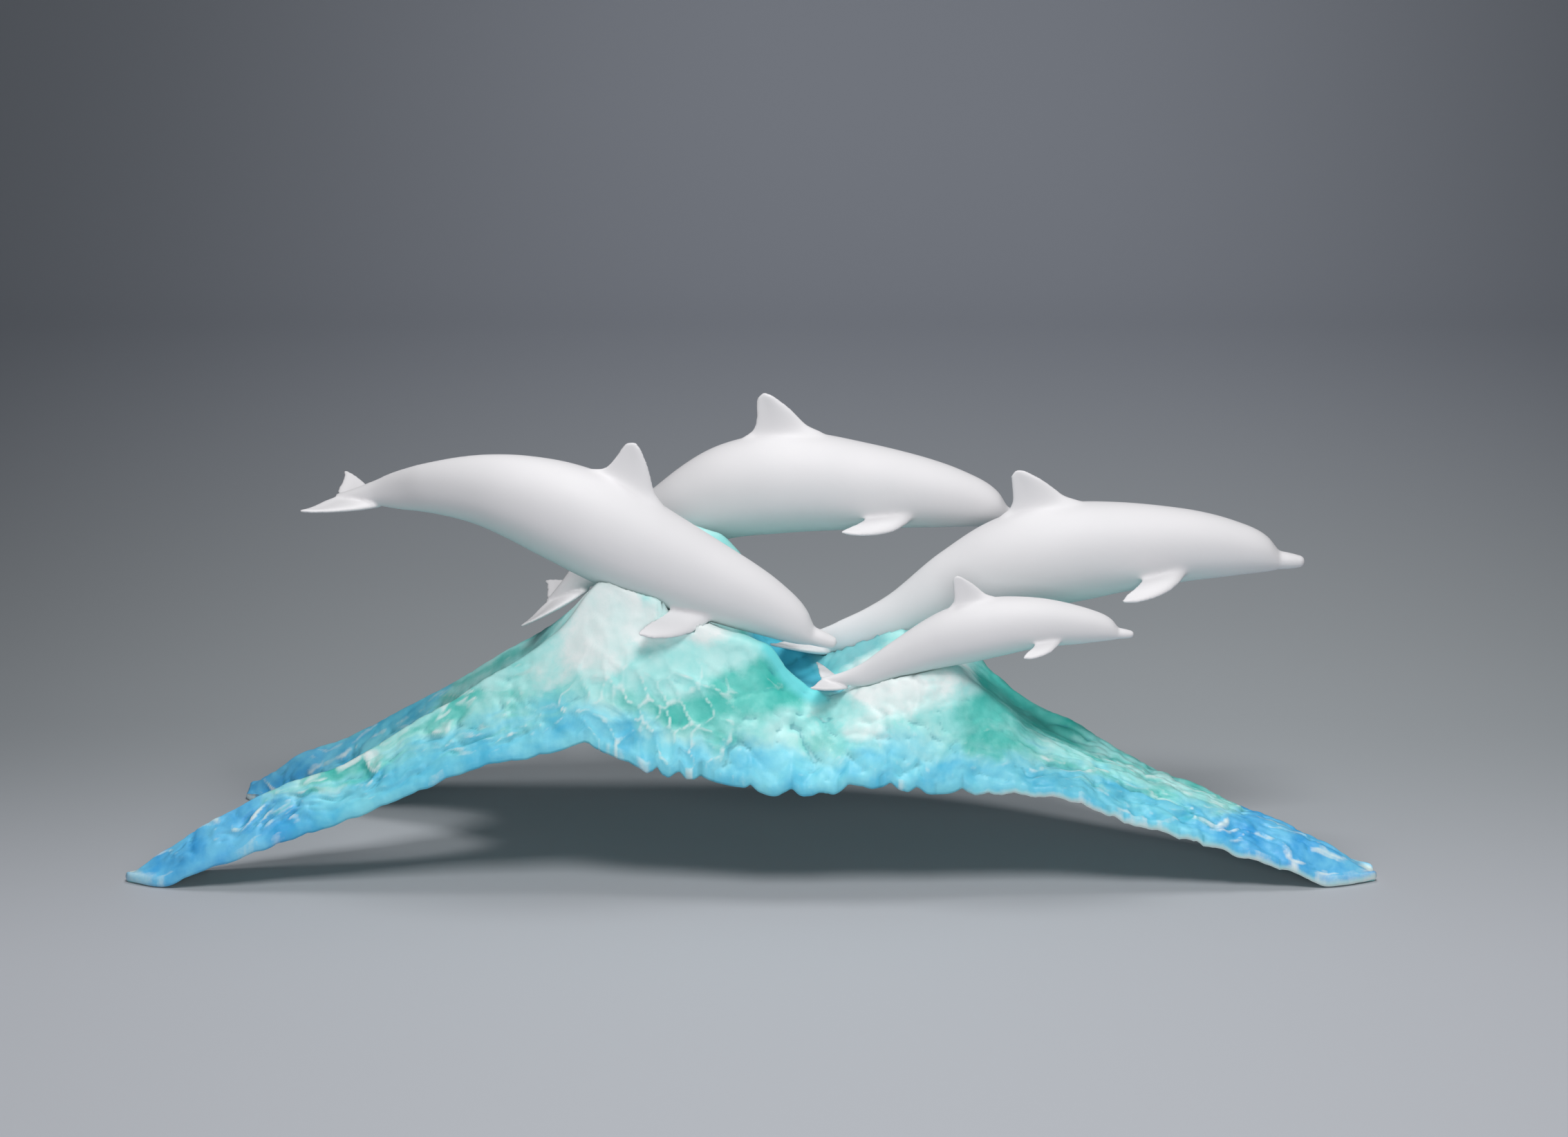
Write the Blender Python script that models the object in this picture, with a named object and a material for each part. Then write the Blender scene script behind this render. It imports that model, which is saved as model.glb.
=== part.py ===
# Four dolphins riding a breaking wave: a cast and hand-painted tabletop figurine.
# The wave is a draped shell on three feet. Each dolphin is cast by itself and bonded
# into a seat on a crest. Metres, +Z up, +X along the length, the viewer's side is -Y.

import itertools
import math

import bmesh
import bpy
import numpy as np

MM = 0.001

# Driving sizes of the wave
SHEET = 7.0 * MM            # wall of the wave's shell, square to its face
LIP = 5.0 * MM              # height of the hem's edge
SEAT_GAP = 0.3 * MM         # bond line between a dolphin and its seat
SEAT_PAD = 13.0 * MM        # extra wall under a crest that carries a dolphin
SEAT_PAD_REACH = 34.0 * MM  # how far that extra wall spreads
SWELL_HEIGHT = 1.9 * MM     # height of the sculpted swells over the sheet
SWELL_LENGTH = 34.0 * MM    # spacing of the swells
RAG_DEPTH = 4.2 * MM        # depth of the torn notches along the hem
RAG_LENGTH = 21.0 * MM      # spacing of those notches
THIN_WALL = 3.0 * MM        # least wall anywhere
FOOT_RISE = 4.5 * MM        # least height of a foot above the ground
SWELL_BEND = 9.0 * MM       # how far the swells wander from a straight line
SWELL_FADE = 22.0 * MM      # height below which the swells fade to the plain foot
RAG_START = 4.0 * MM        # height of the hem at which its notches begin
RAG_FULL = 24.0 * MM        # height of the hem from which they have their whole depth
BELLY_REACH = 30.0 * MM     # a crest this far below a dolphin's axis still gets extra wall
STEEPEST = 2.4              # most that a slanted wall is stretched when measured downwards

# Steps of the wave's grid: along the length, and across between hem, crest and pool
WAVE_COLUMNS = 71
FACE_STEPS = 6
BOWL_STEPS = 3
BACK_STEPS = 4

# The wave's lines in millimetres, left to right: x, y, height.
# A hem's height is that of its lower edge.
FRONT_HEM = (
    (-300, 8, 0), (-284, 1, 0), (-268, -1, 7), (-240, -1, 17), (-216, 0, 26),
    (-193, 0, 34), (-160, 0, 48), (-126, 0, 62), (-100, 0, 67), (-77, 0, 73),
    (-59, -2, 63), (-38, -4, 59), (-15, -6, 56), (11, -8, 51), (34, -8, 50),
    (54, -8, 55), (77, -7, 52), (103, -5, 50), (129, -3, 48), (152, -2, 44),
    (176, -1, 34), (209, 0, 24), (236, 0, 15), (263, 0, 6), (277, 1, 0),
    (300, 9, 0))
FRONT_CREST = (
    (-300, 11, 2), (-264, 12, 27), (-230, 14, 44), (-196, 16, 56), (-162, 19, 76),
    (-128, 22, 97), (-94, 24, 118), (-66, 24, 149), (-56, 24, 146), (-36, 22, 133),
    (-15, 21, 122.5), (5, 21, 114.5), (18, 22, 100), (31, 22, 91), (40, 20, 90),
    (52, 17, 95), (71, 15, 102), (97, 17, 103), (111, 22, 92), (124, 24, 81),
    (138, 25, 69), (165, 24, 56), (200, 22, 42), (240, 18, 28), (272, 14, 17),
    (300, 12, 2))
POOL = (
    (-118, 69, 64), (-90, 68, 88), (-60, 66, 116), (-30, 64, 118), (-8, 60, 108),
    (12, 54, 92), (30, 48, 85), (48, 46, 92), (71, 46, 103), (92, 48, 107),
    (108, 52, 92), (124, 48, 77), (150, 44, 61), (200, 36, 42), (250, 24, 25),
    (300, 14, 2))
REAR_CREST = (
    (-262, 135, 4), (-237, 130, 22), (-209, 127, 34), (-173, 123, 54), (-137, 119, 75),
    (-101, 115, 99), (-81, 112, 118), (-55, 103, 143), (-32, 93, 156), (-17, 92, 152),
    (-7, 92, 143), (6, 92, 118), (22, 86, 100), (36, 78, 97), (52, 72, 103),
    (71, 70, 111), (88, 72, 122), (100, 72, 116), (112, 71, 93), (124, 68, 81),
    (140, 63, 70), (157, 57, 64), (174, 52, 55), (207, 42, 41), (240, 32, 29),
    (272, 24, 17), (300, 17, 2))
REAR_HEM = (
    (-262, 142, 0), (-250, 147, 0), (-235, 149, 7), (-200, 152, 22), (-160, 155, 42),
    (-110, 157, 60), (-60, 158, 68), (-20, 157, 62), (20, 153, 54), (60, 146, 52),
    (100, 134, 49), (130, 119, 44), (160, 101, 37), (200, 76, 24), (240, 54, 12),
    (268, 38, 2), (284, 30, 0), (300, 19, 0))
# Inner hems of the two left legs, from foot to the fork where they join
FRONT_LEG_INNER = (
    (-300, 14, 0), (-284, 20, 0), (-268, 23, 6), (-240, 29, 14), (-216, 34, 25),
    (-193, 39, 33), (-160, 47, 46), (-135, 57, 57), (-118, 69, 64))
REAR_LEG_INNER = (
    (-262, 128, 0), (-250, 121, 0), (-235, 116, 8), (-209, 109, 20), (-173, 99, 38),
    (-145, 87, 52), (-118, 69, 64))

# A dolphin's body as shares of its length, snout to the notch of the flukes:
# station, half height, half width over half height, drop of the centre below the spine
BODY = (
    (0.000, 0.0060, 1.15, 0.0240), (0.012, 0.0115, 1.20, 0.0238),
    (0.030, 0.0150, 1.20, 0.0232), (0.048, 0.0172, 1.18, 0.0222),
    (0.056, 0.0225, 1.10, 0.0190), (0.070, 0.0320, 0.97, 0.0125),
    (0.090, 0.0400, 0.93, 0.0075), (0.115, 0.0470, 0.91, 0.0042),
    (0.165, 0.0585, 0.91, 0.0012), (0.220, 0.0675, 0.92, 0.0000),
    (0.280, 0.0760, 0.92, 0.0000), (0.350, 0.0850, 0.91, 0.0000),
    (0.420, 0.0925, 0.89, 0.0000), (0.490, 0.0945, 0.88, 0.0000),
    (0.560, 0.0905, 0.86, 0.0000), (0.640, 0.0790, 0.81, 0.0000),
    (0.720, 0.0640, 0.74, 0.0000), (0.800, 0.0495, 0.64, 0.0000),
    (0.870, 0.0375, 0.52, 0.0000), (0.920, 0.0240, 0.60, 0.0000),
    (0.950, 0.0155, 0.85, 0.0000), (0.980, 0.0080, 1.40, 0.0000),
    (1.000, 0.0040, 2.20, 0.0000))
# Dorsal fin: share of its height, station of the leading and of the trailing edge
DORSAL = (
    (-0.30, 0.385, 0.590), (0.00, 0.414, 0.561), (0.15, 0.436, 0.544),
    (0.40, 0.454, 0.536), (0.64, 0.472, 0.531), (0.86, 0.490, 0.527),
    (1.00, 0.500, 0.521))
DORSAL_THICK = 0.0150
# Share of that half thickness at levels of the fin
DORSAL_TAPER = ((-0.30, 1.70), (0.00, 1.15), (0.15, 0.75), (0.50, 0.52), (1.00, 0.30))
# Flukes: share of the half span, leading and trailing edge behind the notch, half thickness
FLUKE = (
    (0.00, -0.090, -0.004, 0.0090), (0.15, -0.079, 0.005, 0.0085),
    (0.35, -0.062, 0.011, 0.0070), (0.60, -0.036, 0.016, 0.0052),
    (0.82, -0.009, 0.022, 0.0034), (0.95, 0.012, 0.028, 0.0022),
    (1.00, 0.024, 0.030, 0.0014))
FLUKE_HALF_SPAN = 0.113
FLUKE_RISE = 0.005
# Flipper: share of the way along its bent axis, which starts inside the body; chord, half
# thickness, slip of the chord's middle to the rear
FLIPPER = (
    (0.00, 0.064, 0.0130, 0.000), (0.22, 0.068, 0.0125, 0.001),
    (0.42, 0.064, 0.0095, 0.005), (0.64, 0.053, 0.0070, 0.006),
    (0.86, 0.034, 0.0048, 0.005), (1.00, 0.012, 0.0024, 0.004))
FLIPPER_STATION = 0.255
# Where the flipper's axis starts and turns, square to the body's face, as shares of its reach
FLIPPER_ROOT = -0.28
FLIPPER_TURN = 0.24

# Each dolphin: its spine in millimetres, snout to notch. As shares of its length, the reach
# of its flippers to the rear, outward and down, and the height of its dorsal fin and how far
# that sits forward. As a share of the body's half height, how low the flippers start. In
# degrees, how far the flukes roll up at the far side and pitch up behind.
DOLPHINS = {
    "dolphin_left": {
        "spine": ((43, 34, 118), (22, 34, 124.5), (1, 35, 133.5), (-21, 36, 143.2),
                  (-56, 36, 160), (-86, 37, 175), (-127, 41, 186), (-154, 48, 185.5),
                  (-180, 59, 180.5), (-201, 64.5, 177.5)),
        "flipper": (0.084, 0.079, 0.056), "flipper_low": 0.80, "fluke_roll": 6,
        "fluke_pitch": 16, "fin_height": 0.078, "fin_forward": 0.018},
    "dolphin_rear": {
        "spine": ((141, 112, 159.5), (108, 112, 164.5), (56, 112, 171), (21, 112, 173),
                  (-10, 113, 168.5), (-38, 115, 155), (-80, 123, 126.5), (-105, 129, 106.5)),
        "flipper": (0.103, 0.061, 0.026), "flipper_low": 0.57, "fluke_roll": 9,
        "fluke_pitch": 18, "fin_height": 0.079, "fin_forward": 0.019},
    "dolphin_right": {
        "spine": ((271, 72, 149), (241, 72, 150), (207, 72, 151), (160, 72, 148),
                  (133, 72, 143), (103, 72, 130), (72, 72, 113), (43, 72, 104),
                  (16, 72, 102)),
        "flipper": (0.095, 0.067, 0.034), "flipper_low": 0.58, "fluke_roll": -8,
        "fluke_pitch": 18, "fin_height": 0.077, "fin_forward": 0.010},
    "dolphin_calf": {
        "spine": ((182, 18, 125), (156, 18, 126), (136, 18, 127), (116, 18, 125),
                  (96, 18, 120), (70, 18, 109), (52, 18.3, 100.5), (33.5, 20, 98.5)),
        "flipper": (0.090, 0.064, 0.042), "flipper_low": 0.62, "fluke_roll": 4,
        "fluke_pitch": 24, "fin_height": 0.091, "fin_forward": 0.003},
}
BODY_STEPS = 26
BODY_COLUMNS = 16
# Stations between which the body's oval turns to a lens, and how sharp that becomes
LENS_FROM, LENS_TO, LENS_SHARP = 0.55, 0.85, 0.35
SPINE_STEPS = 401
# Stations between which a belly can lie on a crest
BELLY_FROM, BELLY_TO, BELLY_STEPS = 0.2, 0.8, 25


def clear_scene():
    """Remove whatever the file was opened with."""
    for thing in list(bpy.data.objects):
        bpy.data.objects.remove(thing, do_unlink=True)


def hermite(x, y, slope, at):
    """Cubic pieces through rows y at x with the given slopes, read at 'at'."""
    k = np.clip(np.searchsorted(x, at, side="right") - 1, 0, len(x) - 2)
    step = (x[k + 1] - x[k])[:, None]
    f = (at - x[k])[:, None] / step
    return ((2 * f**3 - 3 * f**2 + 1) * y[k] + (f**3 - 2 * f**2 + f) * step * slope[k]
            + (3 * f**2 - 2 * f**3) * y[k + 1] + (f**3 - f**2) * step * slope[k + 1])


def read_table(table, at):
    """Columns of a table at places 'at': cubic pieces that never overshoot a row."""
    table = np.asarray(table, float)
    x = table[:, 0]
    y = table[:, 1:]
    secant = np.diff(y, axis=0) / np.diff(x)[:, None]
    product = secant[1:] * secant[:-1]
    total = secant[1:] + secant[:-1]
    inner = np.where(product > 0, 2 * product / np.where(total == 0, 1, total), 0)
    slope = np.vstack([secant[:1], inner, secant[-1:]])
    return hermite(x, y, slope, np.clip(np.asarray(at, float), x[0], x[-1]))


def unit(vectors):
    """Rows scaled to length one."""
    return vectors / np.linalg.norm(vectors, axis=-1, keepdims=True)


def path_run(points):
    """Distance gone along a row of points."""
    return np.concatenate([[0], np.cumsum(np.linalg.norm(np.diff(points, axis=0), axis=1))])


def smooth_curve(points, count):
    """Smooth curve through the points, at 'count' places evenly spaced along it."""
    gone = path_run(points)
    fine = hermite(gone, points, np.gradient(points, gone, axis=0),
                   np.linspace(0, gone[-1], count))
    run = path_run(fine)
    even = np.linspace(0, run[-1], count)
    return np.stack([np.interp(even, run, fine[:, a]) for a in range(3)], axis=1), run[-1]


class Spine:
    """The bent axis of a dolphin, with its length and the directions along it."""

    def __init__(self, points_mm):
        points = np.asarray(points_mm, float) * MM
        self.points, self.length = smooth_curve(points, SPINE_STEPS)
        self.station = np.linspace(0, 1, SPINE_STEPS)
        self.aft = unit(np.gradient(self.points, axis=0))
        self.up = unit(np.array([0, 0, 1.0]) - self.aft[:, 2:3] * self.aft)
        self.far = np.cross(self.aft, self.up)

    def read(self, table, at):
        """Values of one of the spine's tables at stations."""
        return np.stack([np.interp(at, self.station, table[:, a]) for a in range(3)], axis=-1)

    def frame(self, at):
        """Place, aft, up and far directions at stations."""
        return (self.read(self.points, at), unit(self.read(self.aft, at)),
                unit(self.read(self.up, at)), unit(self.read(self.far, at)))


def loft(name, rings, material, collection):
    """Closed solid through a row of closed rings, with a flat cap at each end."""
    count, around = rings.shape[:2]
    mesh = bpy.data.meshes.new(name)
    work = bmesh.new()
    verts = [work.verts.new(p) for p in rings.reshape(-1, 3)]
    for i in range(count - 1):
        for j in range(around):
            k = (j + 1) % around
            work.faces.new((verts[i * around + j], verts[i * around + k],
                            verts[(i + 1) * around + k], verts[(i + 1) * around + j]))
    work.faces.new(verts[:around])
    work.faces.new(verts[-around:])
    bmesh.ops.triangulate(work, faces=work.faces[:])
    bmesh.ops.recalc_face_normals(work, faces=work.faces[:])
    work.to_mesh(mesh)
    work.free()
    mesh.materials.append(material)
    thing = bpy.data.objects.new(name, mesh)
    collection.objects.link(thing)
    return thing


def foil_rings(lead, trail, side, half):
    """Rings of a fin: round at the leading edge and thin at the trailing edge."""
    share = np.array([0.0, 0.10, 0.38, 0.72, 1.0])
    bulge = np.array([0.0, 0.72, 1.0, 0.66, 0.22])
    share = np.concatenate([share, share[:0:-1]])
    bulge = np.concatenate([bulge, -bulge[:0:-1]])
    return (lead[:, None] + (trail - lead)[:, None] * share[None, :, None]
            + side[:, None] * (half[:, None] * bulge[None])[..., None])


def body_rings(spine, grow):
    """Rings of the body: ovals that turn to a lens towards the tail, snout first."""
    table = np.asarray(BODY)
    spread = np.interp(np.linspace(0, 1, BODY_STEPS), np.linspace(0, 1, len(table)),
                       table[:, 0])
    half, ratio, drop = read_table(BODY, spread).T
    tall = half * spine.length + grow
    wide = half * ratio * spine.length + grow
    place, aft, up, far = spine.frame(spread)
    ends = np.zeros(BODY_STEPS)
    ends[0] = -grow
    ends[-1] = grow
    place = place + aft * ends[:, None] - up * (drop * spine.length)[:, None]
    angle = np.linspace(0, 2 * math.pi, BODY_COLUMNS, endpoint=False)
    lens = 1.0 + LENS_SHARP * np.clip((spread - LENS_FROM) / (LENS_TO - LENS_FROM), 0, 1)
    across = np.sign(np.cos(angle)) * np.abs(np.cos(angle))[None] ** lens[:, None]
    return (place[:, None] + up[:, None] * (tall[:, None] * np.sin(angle)[None])[..., None]
            + far[:, None] * (wide[:, None] * across)[..., None])


def dorsal_rings(spine, height, forward, grow):
    """Rings of the fin on the back, from inside the body to the tip."""
    level, front, rear = np.asarray(DORSAL).T
    front = front - forward - grow / spine.length
    rear = rear - forward + grow / spine.length
    rise = level * height * spine.length
    rise[-1] = rise[-1] + grow
    middle = (front + rear) / 2
    place, aft, up, far = spine.frame(middle)
    back = read_table(BODY, middle)[:, 0] * spine.length
    seat = place + up * (back + rise)[:, None]
    chord = aft * ((rear - front) / 2 * spine.length)[:, None]
    taper = read_table(DORSAL_TAPER, level)[:, 0]
    half = DORSAL_THICK * spine.length * taper + grow
    return foil_rings(seat - chord, seat + chord, far, half)


def turned(first, second, degrees):
    """Two square directions turned in their plane, the first towards the second."""
    cosine = math.cos(math.radians(degrees))
    sine = math.sin(math.radians(degrees))
    return first * cosine + second * sine, second * cosine - first * sine


def fluke_rings(spine, roll, pitch, grow):
    """Rings of the flukes, from the near tip through the tail to the far tip."""
    span, front, rear, half = np.asarray(FLUKE).T
    place, aft, up, far = (v[0] for v in spine.frame(np.array([1.0])))
    far, up = turned(far, up, roll)
    aft, up = turned(aft, up, pitch)
    reach = span * FLUKE_HALF_SPAN * spine.length
    reach[-1] = reach[-1] + grow
    sweep_front = front * spine.length - grow
    sweep_rear = rear * spine.length + grow
    rise = FLUKE_RISE * spine.length * span**2
    halves = half * spine.length + grow
    lead = place + aft * sweep_front[:, None] + up * rise[:, None]
    trail = place + aft * sweep_rear[:, None] + up * rise[:, None]
    out = far * reach[:, None]
    lead = np.concatenate([(lead - out)[:0:-1], lead + out])
    trail = np.concatenate([(trail - out)[:0:-1], trail + out])
    halves = np.concatenate([halves[:0:-1], halves])
    return foil_rings(lead, trail, np.repeat(up[None], len(lead), axis=0), halves)


def flipper_rings(spine, points_to, low, side, grow):
    """Rings of one flipper along a bent axis that leaves the body square to its face and
    turns to the tip; low is how far below the spine it starts, side is -1 near or 1 far."""
    place, aft, up, far = (v[0] for v in spine.frame(np.array([FLIPPER_STATION])))
    half, ratio, drop = read_table(BODY, np.array([FLIPPER_STATION]))[0]
    out = far * side
    tall = half * spine.length
    wide = tall * ratio
    level = math.sqrt(1 - low**2)
    face = place - up * (tall * low + drop * spine.length) + out * (wide * level)
    square = unit(out * (level / wide) - up * (low / tall))
    back, outward, down = points_to
    reach = (aft * back + out * outward - up * down) * spine.length
    size = np.linalg.norm(reach)
    start = face + square * (size * FLIPPER_ROOT)
    bend = face + square * (size * FLIPPER_TURN)
    tip = face + reach * (1 + grow / size)
    share, chord, thick, slip = np.asarray(FLIPPER).T
    t = share[:, None]
    axis = (1 - t) ** 2 * start + 2 * t * (1 - t) * bend + t**2 * tip
    along = unit((1 - t) * (bend - start) + t * (tip - bend))
    chordwise = unit(aft - along * (along @ aft)[:, None])
    middle = axis + chordwise * (slip * spine.length)[:, None]
    halves = chordwise * (chord * spine.length / 2 + grow)[:, None]
    return foil_rings(middle - halves, middle + halves, np.cross(along, chordwise),
                      thick * spine.length + grow)


def make_tool(thing):
    """Show a cutter or a piece that is joined elsewhere as a wire only."""
    thing.hide_render = True
    thing.display_type = "WIRE"


def combine(thing, others, operation):
    """Exact Boolean of a solid with other solids, one after another."""
    for other in others:
        step = thing.modifiers.new(f"{operation.lower()} {other.name}", "BOOLEAN")
        step.operation = operation
        step.solver = "EXACT"
        step.object = other


def make_dolphin(name, plan, material, where, tools, grow=0.0):
    """One dolphin: body, dorsal fin, flukes and two flippers, joined into one casting."""
    spine = Spine(plan["spine"])
    body = loft(name, body_rings(spine, grow), material, where)
    dorsal = dorsal_rings(spine, plan["fin_height"], plan["fin_forward"], grow)
    fins = [
        loft(f"{name}_dorsal", dorsal, material, tools),
        loft(f"{name}_flukes",
             fluke_rings(spine, plan["fluke_roll"], plan["fluke_pitch"], grow),
             material, tools),
        *(loft(f"{name}_flipper_{side}",
               flipper_rings(spine, plan["flipper"], plan["flipper_low"], sign, grow),
               material, tools) for side, sign in (("near", -1), ("far", 1)))]
    for fin in fins:
        make_tool(fin)
    combine(body, fins, "UNION")
    return body


def wave_lines():
    """Place of each of the wave's lines at every column, in metres, and the fork's column."""
    fork_x = POOL[0][0]
    left_front = FRONT_HEM[0][0]
    left_rear = REAR_HEM[0][0]
    right = FRONT_HEM[-1][0]
    front_x = np.linspace(left_front, right, WAVE_COLUMNS)
    fork = int(np.argmin(np.abs(front_x - fork_x)))
    front_x = np.concatenate([np.linspace(left_front, fork_x, fork + 1),
                              np.linspace(fork_x, right, WAVE_COLUMNS - fork)[1:]])
    rear_x = front_x.copy()
    rear_x[:fork + 1] = np.linspace(left_rear, fork_x, fork + 1)

    def line(table, x):
        return np.column_stack([x, read_table(table, x)]) * MM

    pool_front = np.concatenate([line(FRONT_LEG_INNER, front_x[:fork + 1]),
                                 line(POOL, front_x[fork + 1:])])
    pool_rear = np.concatenate([line(REAR_LEG_INNER, rear_x[:fork + 1]),
                                line(POOL, rear_x[fork + 1:])])
    return (line(FRONT_HEM, front_x), line(FRONT_CREST, front_x), pool_front, pool_rear,
            line(REAR_CREST, rear_x), line(REAR_HEM, rear_x), fork)


def rag(x, phase):
    """Torn edge of the hem: notches of uneven depth, from 0 at a point to 1 in a notch."""
    turn = 2 * math.pi * x / RAG_LENGTH
    wave = 0.6 * np.sin(turn + phase) + 0.4 * np.sin(1.7 * turn + 2.1 * phase)
    return 0.5 + 0.5 * wave


def swell(x, y, share):
    """Sculpted swells over the sheet, largest half way up a face and nil at a hem."""
    turn = 2 * math.pi / SWELL_LENGTH
    bend = SWELL_BEND * np.sin(turn * 0.42 * (x + 1.3 * y))
    first = np.sin(turn * (x + 0.55 * y + bend))
    second = np.sin(turn * (1.55 * y - 0.45 * x) + 2.0 * np.sin(turn * 0.3 * x))
    return (0.6 * first + 0.4 * second) * np.sin(math.pi * np.clip(share, 0, 1)) ** 0.6


def strip(first, second, steps):
    """Rows from one line to the next, evenly spaced, the last left out."""
    share = np.linspace(0, 1, steps, endpoint=False)[:, None, None]
    return first + (second - first) * share


def soften(rows, keep):
    """Round the crests: each row moves towards the mean of its neighbours."""
    for _ in range(2):
        middle = rows.copy()
        middle[1:-1, :, 2] = (rows[:-2, :, 2] + 2 * rows[1:-1, :, 2] + rows[2:, :, 2]) / 4
        middle[keep] = rows[keep]
        rows = middle
    return rows


def wave_grid(hem, crest, pool, face_steps, phase):
    """Outer face of one half of the wave, from its hem over its crest to the pool."""
    hem_top = hem.copy()
    lifted = np.clip((hem[:, 2] - RAG_START) / (RAG_FULL - RAG_START), 0, 1)
    hem_top[:, 2] += LIP + RAG_DEPTH * rag(hem[:, 0], phase) * lifted
    face = strip(hem_top, crest, face_steps)
    bowl = strip(crest, pool, BOWL_STEPS)
    rows = np.concatenate([face, bowl, pool[None]])
    return soften(rows, [0, face_steps, len(rows) - 1])


def steepness(rows):
    """How much longer a slanted wall is, cut straight down, than it is thick."""
    across = np.gradient(rows, axis=0)
    along = np.gradient(rows, axis=1)
    normal = np.cross(across, along)
    size = np.linalg.norm(normal, axis=-1)
    return np.clip(size / np.maximum(np.abs(normal[..., 2]), 1e-9), 1.0, STEEPEST)


def seat_pad(rows, spines):
    """Extra wall near the dolphins' bellies, at its most right under a body."""
    flat = rows[..., :2]
    pad = np.zeros(flat.shape[:-1])
    for spine in spines:
        middle = spine.read(spine.points, np.linspace(BELLY_FROM, BELLY_TO, BELLY_STEPS))
        gap = np.linalg.norm(flat[..., None, :] - middle[:, :2], axis=-1)
        lift = middle[:, 2] - rows[..., 2][..., None]
        far = np.hypot(gap, np.clip(lift - BELLY_REACH, 0, None)).min(axis=-1)
        pad = np.maximum(pad, np.exp(-2 * (far / SEAT_PAD_REACH) ** 2))
    return pad * SEAT_PAD


def make_wave(material, where, spines):
    """The wave: outer and inner faces on one grid with a slit between the left legs."""
    front_hem, front_crest, pool_front, pool_rear, rear_crest, rear_hem, fork = wave_lines()
    front = wave_grid(front_hem, front_crest, pool_front, FACE_STEPS, 0.4)
    rear = wave_grid(rear_hem, rear_crest, pool_rear, BACK_STEPS, 1.9)[::-1]
    sheet = np.concatenate([front, rear])
    middle = len(front)
    seam = (front[-1, fork:] + rear[0, fork:]) / 2
    sheet[middle - 1, fork:] = seam
    sheet[middle, fork:] = seam
    smooth = sheet.copy()

    count = len(sheet)
    share = np.concatenate([
        np.linspace(0, 1, FACE_STEPS, endpoint=False) * 0.9,
        np.full(2 * BOWL_STEPS + 2, 0.5),
        np.linspace(1, 0, BACK_STEPS + 1)[1:] * 0.9])[:, None]
    above = np.clip(smooth[..., 2] / SWELL_FADE, 0, 1)
    sheet[..., 2] += SWELL_HEIGHT * swell(smooth[..., 0], smooth[..., 1], share) * above
    sheet[..., 2] = np.maximum(sheet[..., 2], FOOT_RISE)

    lower = smooth.copy()
    wall = SHEET * np.concatenate([steepness(front), steepness(rear)])
    lower[..., 2] -= wall + seat_pad(smooth, spines)
    lower[0, :, 2] = smooth[0, :, 2] - LIP
    lower[-1, :, 2] = smooth[-1, :, 2] - LIP
    lower[middle - 1, :fork, 2] = pool_front[:fork, 2] - LIP
    lower[middle, :fork, 2] = pool_rear[:fork, 2] - LIP
    rim = np.where(np.arange(count)[:, None] < middle,
                   np.minimum(lower[0, :, 2], pool_front[:, 2] - LIP),
                   np.minimum(lower[-1, :, 2], pool_rear[:, 2] - LIP))
    lower[..., 2] = np.maximum(lower[..., 2], rim)
    lower[..., 2] = np.clip(lower[..., 2], 0, sheet[..., 2] - THIN_WALL)

    columns = sheet.shape[1]
    index = np.arange(count * columns).reshape(count, columns)
    index[middle, fork:] = index[middle - 1, fork:]
    below = index + count * columns
    points = np.concatenate([sheet.reshape(-1, 3), lower.reshape(-1, 3)])

    mesh = bpy.data.meshes.new("wave_base")
    work = bmesh.new()
    used = {}

    def vert(number):
        number = int(number)
        if number not in used:
            used[number] = work.verts.new(points[number])
        return used[number]

    rows = [i for i in range(count - 1) if i != middle - 1]
    for i, j in itertools.product(rows, range(columns - 1)):
        top = (index[i, j], index[i, j + 1], index[i + 1, j + 1], index[i + 1, j])
        low = (below[i, j], below[i + 1, j], below[i + 1, j + 1], below[i, j + 1])
        work.faces.new([vert(n) for n in top])
        work.faces.new([vert(n) for n in low])
    edge = ([index[0, j] for j in range(columns)]
            + [index[i, columns - 1] for i in range(1, count) if i != middle]
            + [index[-1, j] for j in range(columns - 2, -1, -1)]
            + [index[i, 0] for i in range(count - 2, middle - 1, -1)]
            + [index[middle, j] for j in range(1, fork)]
            + [index[middle - 1, j] for j in range(fork, -1, -1)]
            + [index[i, 0] for i in range(middle - 2, 0, -1)])
    for here, there in zip(edge, edge[1:] + edge[:1]):
        work.faces.new([vert(here), vert(here + count * columns),
                        vert(there + count * columns), vert(there)])
    bmesh.ops.triangulate(work, faces=work.faces[:])
    bmesh.ops.recalc_face_normals(work, faces=work.faces[:])
    work.to_mesh(mesh)
    work.free()
    mesh.materials.append(material)
    thing = bpy.data.objects.new("wave_base", mesh)
    where.objects.link(thing)
    return thing


def painted_resin(name, colour, roughness):
    """Matte paint on cast resin."""
    material = bpy.data.materials.new(name)
    material.use_nodes = True
    shader = material.node_tree.nodes["Principled BSDF"]
    shader.inputs["Base Color"].default_value = (*colour, 1.0)
    shader.inputs["Roughness"].default_value = roughness
    shader.inputs["Metallic"].default_value = 0.0
    return material


def world_box(things):
    """Lowest and highest corner of the finished solids."""
    graph = bpy.context.evaluated_depsgraph_get()
    low = np.full(3, np.inf)
    high = np.full(3, -np.inf)
    for thing in things:
        shape = thing.evaluated_get(graph)
        mesh = shape.to_mesh()
        flat = np.empty(len(mesh.vertices) * 3)
        mesh.vertices.foreach_get("co", flat)
        corners = flat.reshape(-1, 3)
        low = np.minimum(low, corners.min(axis=0))
        high = np.maximum(high, corners.max(axis=0))
        shape.to_mesh_clear()
    return low, high


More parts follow.
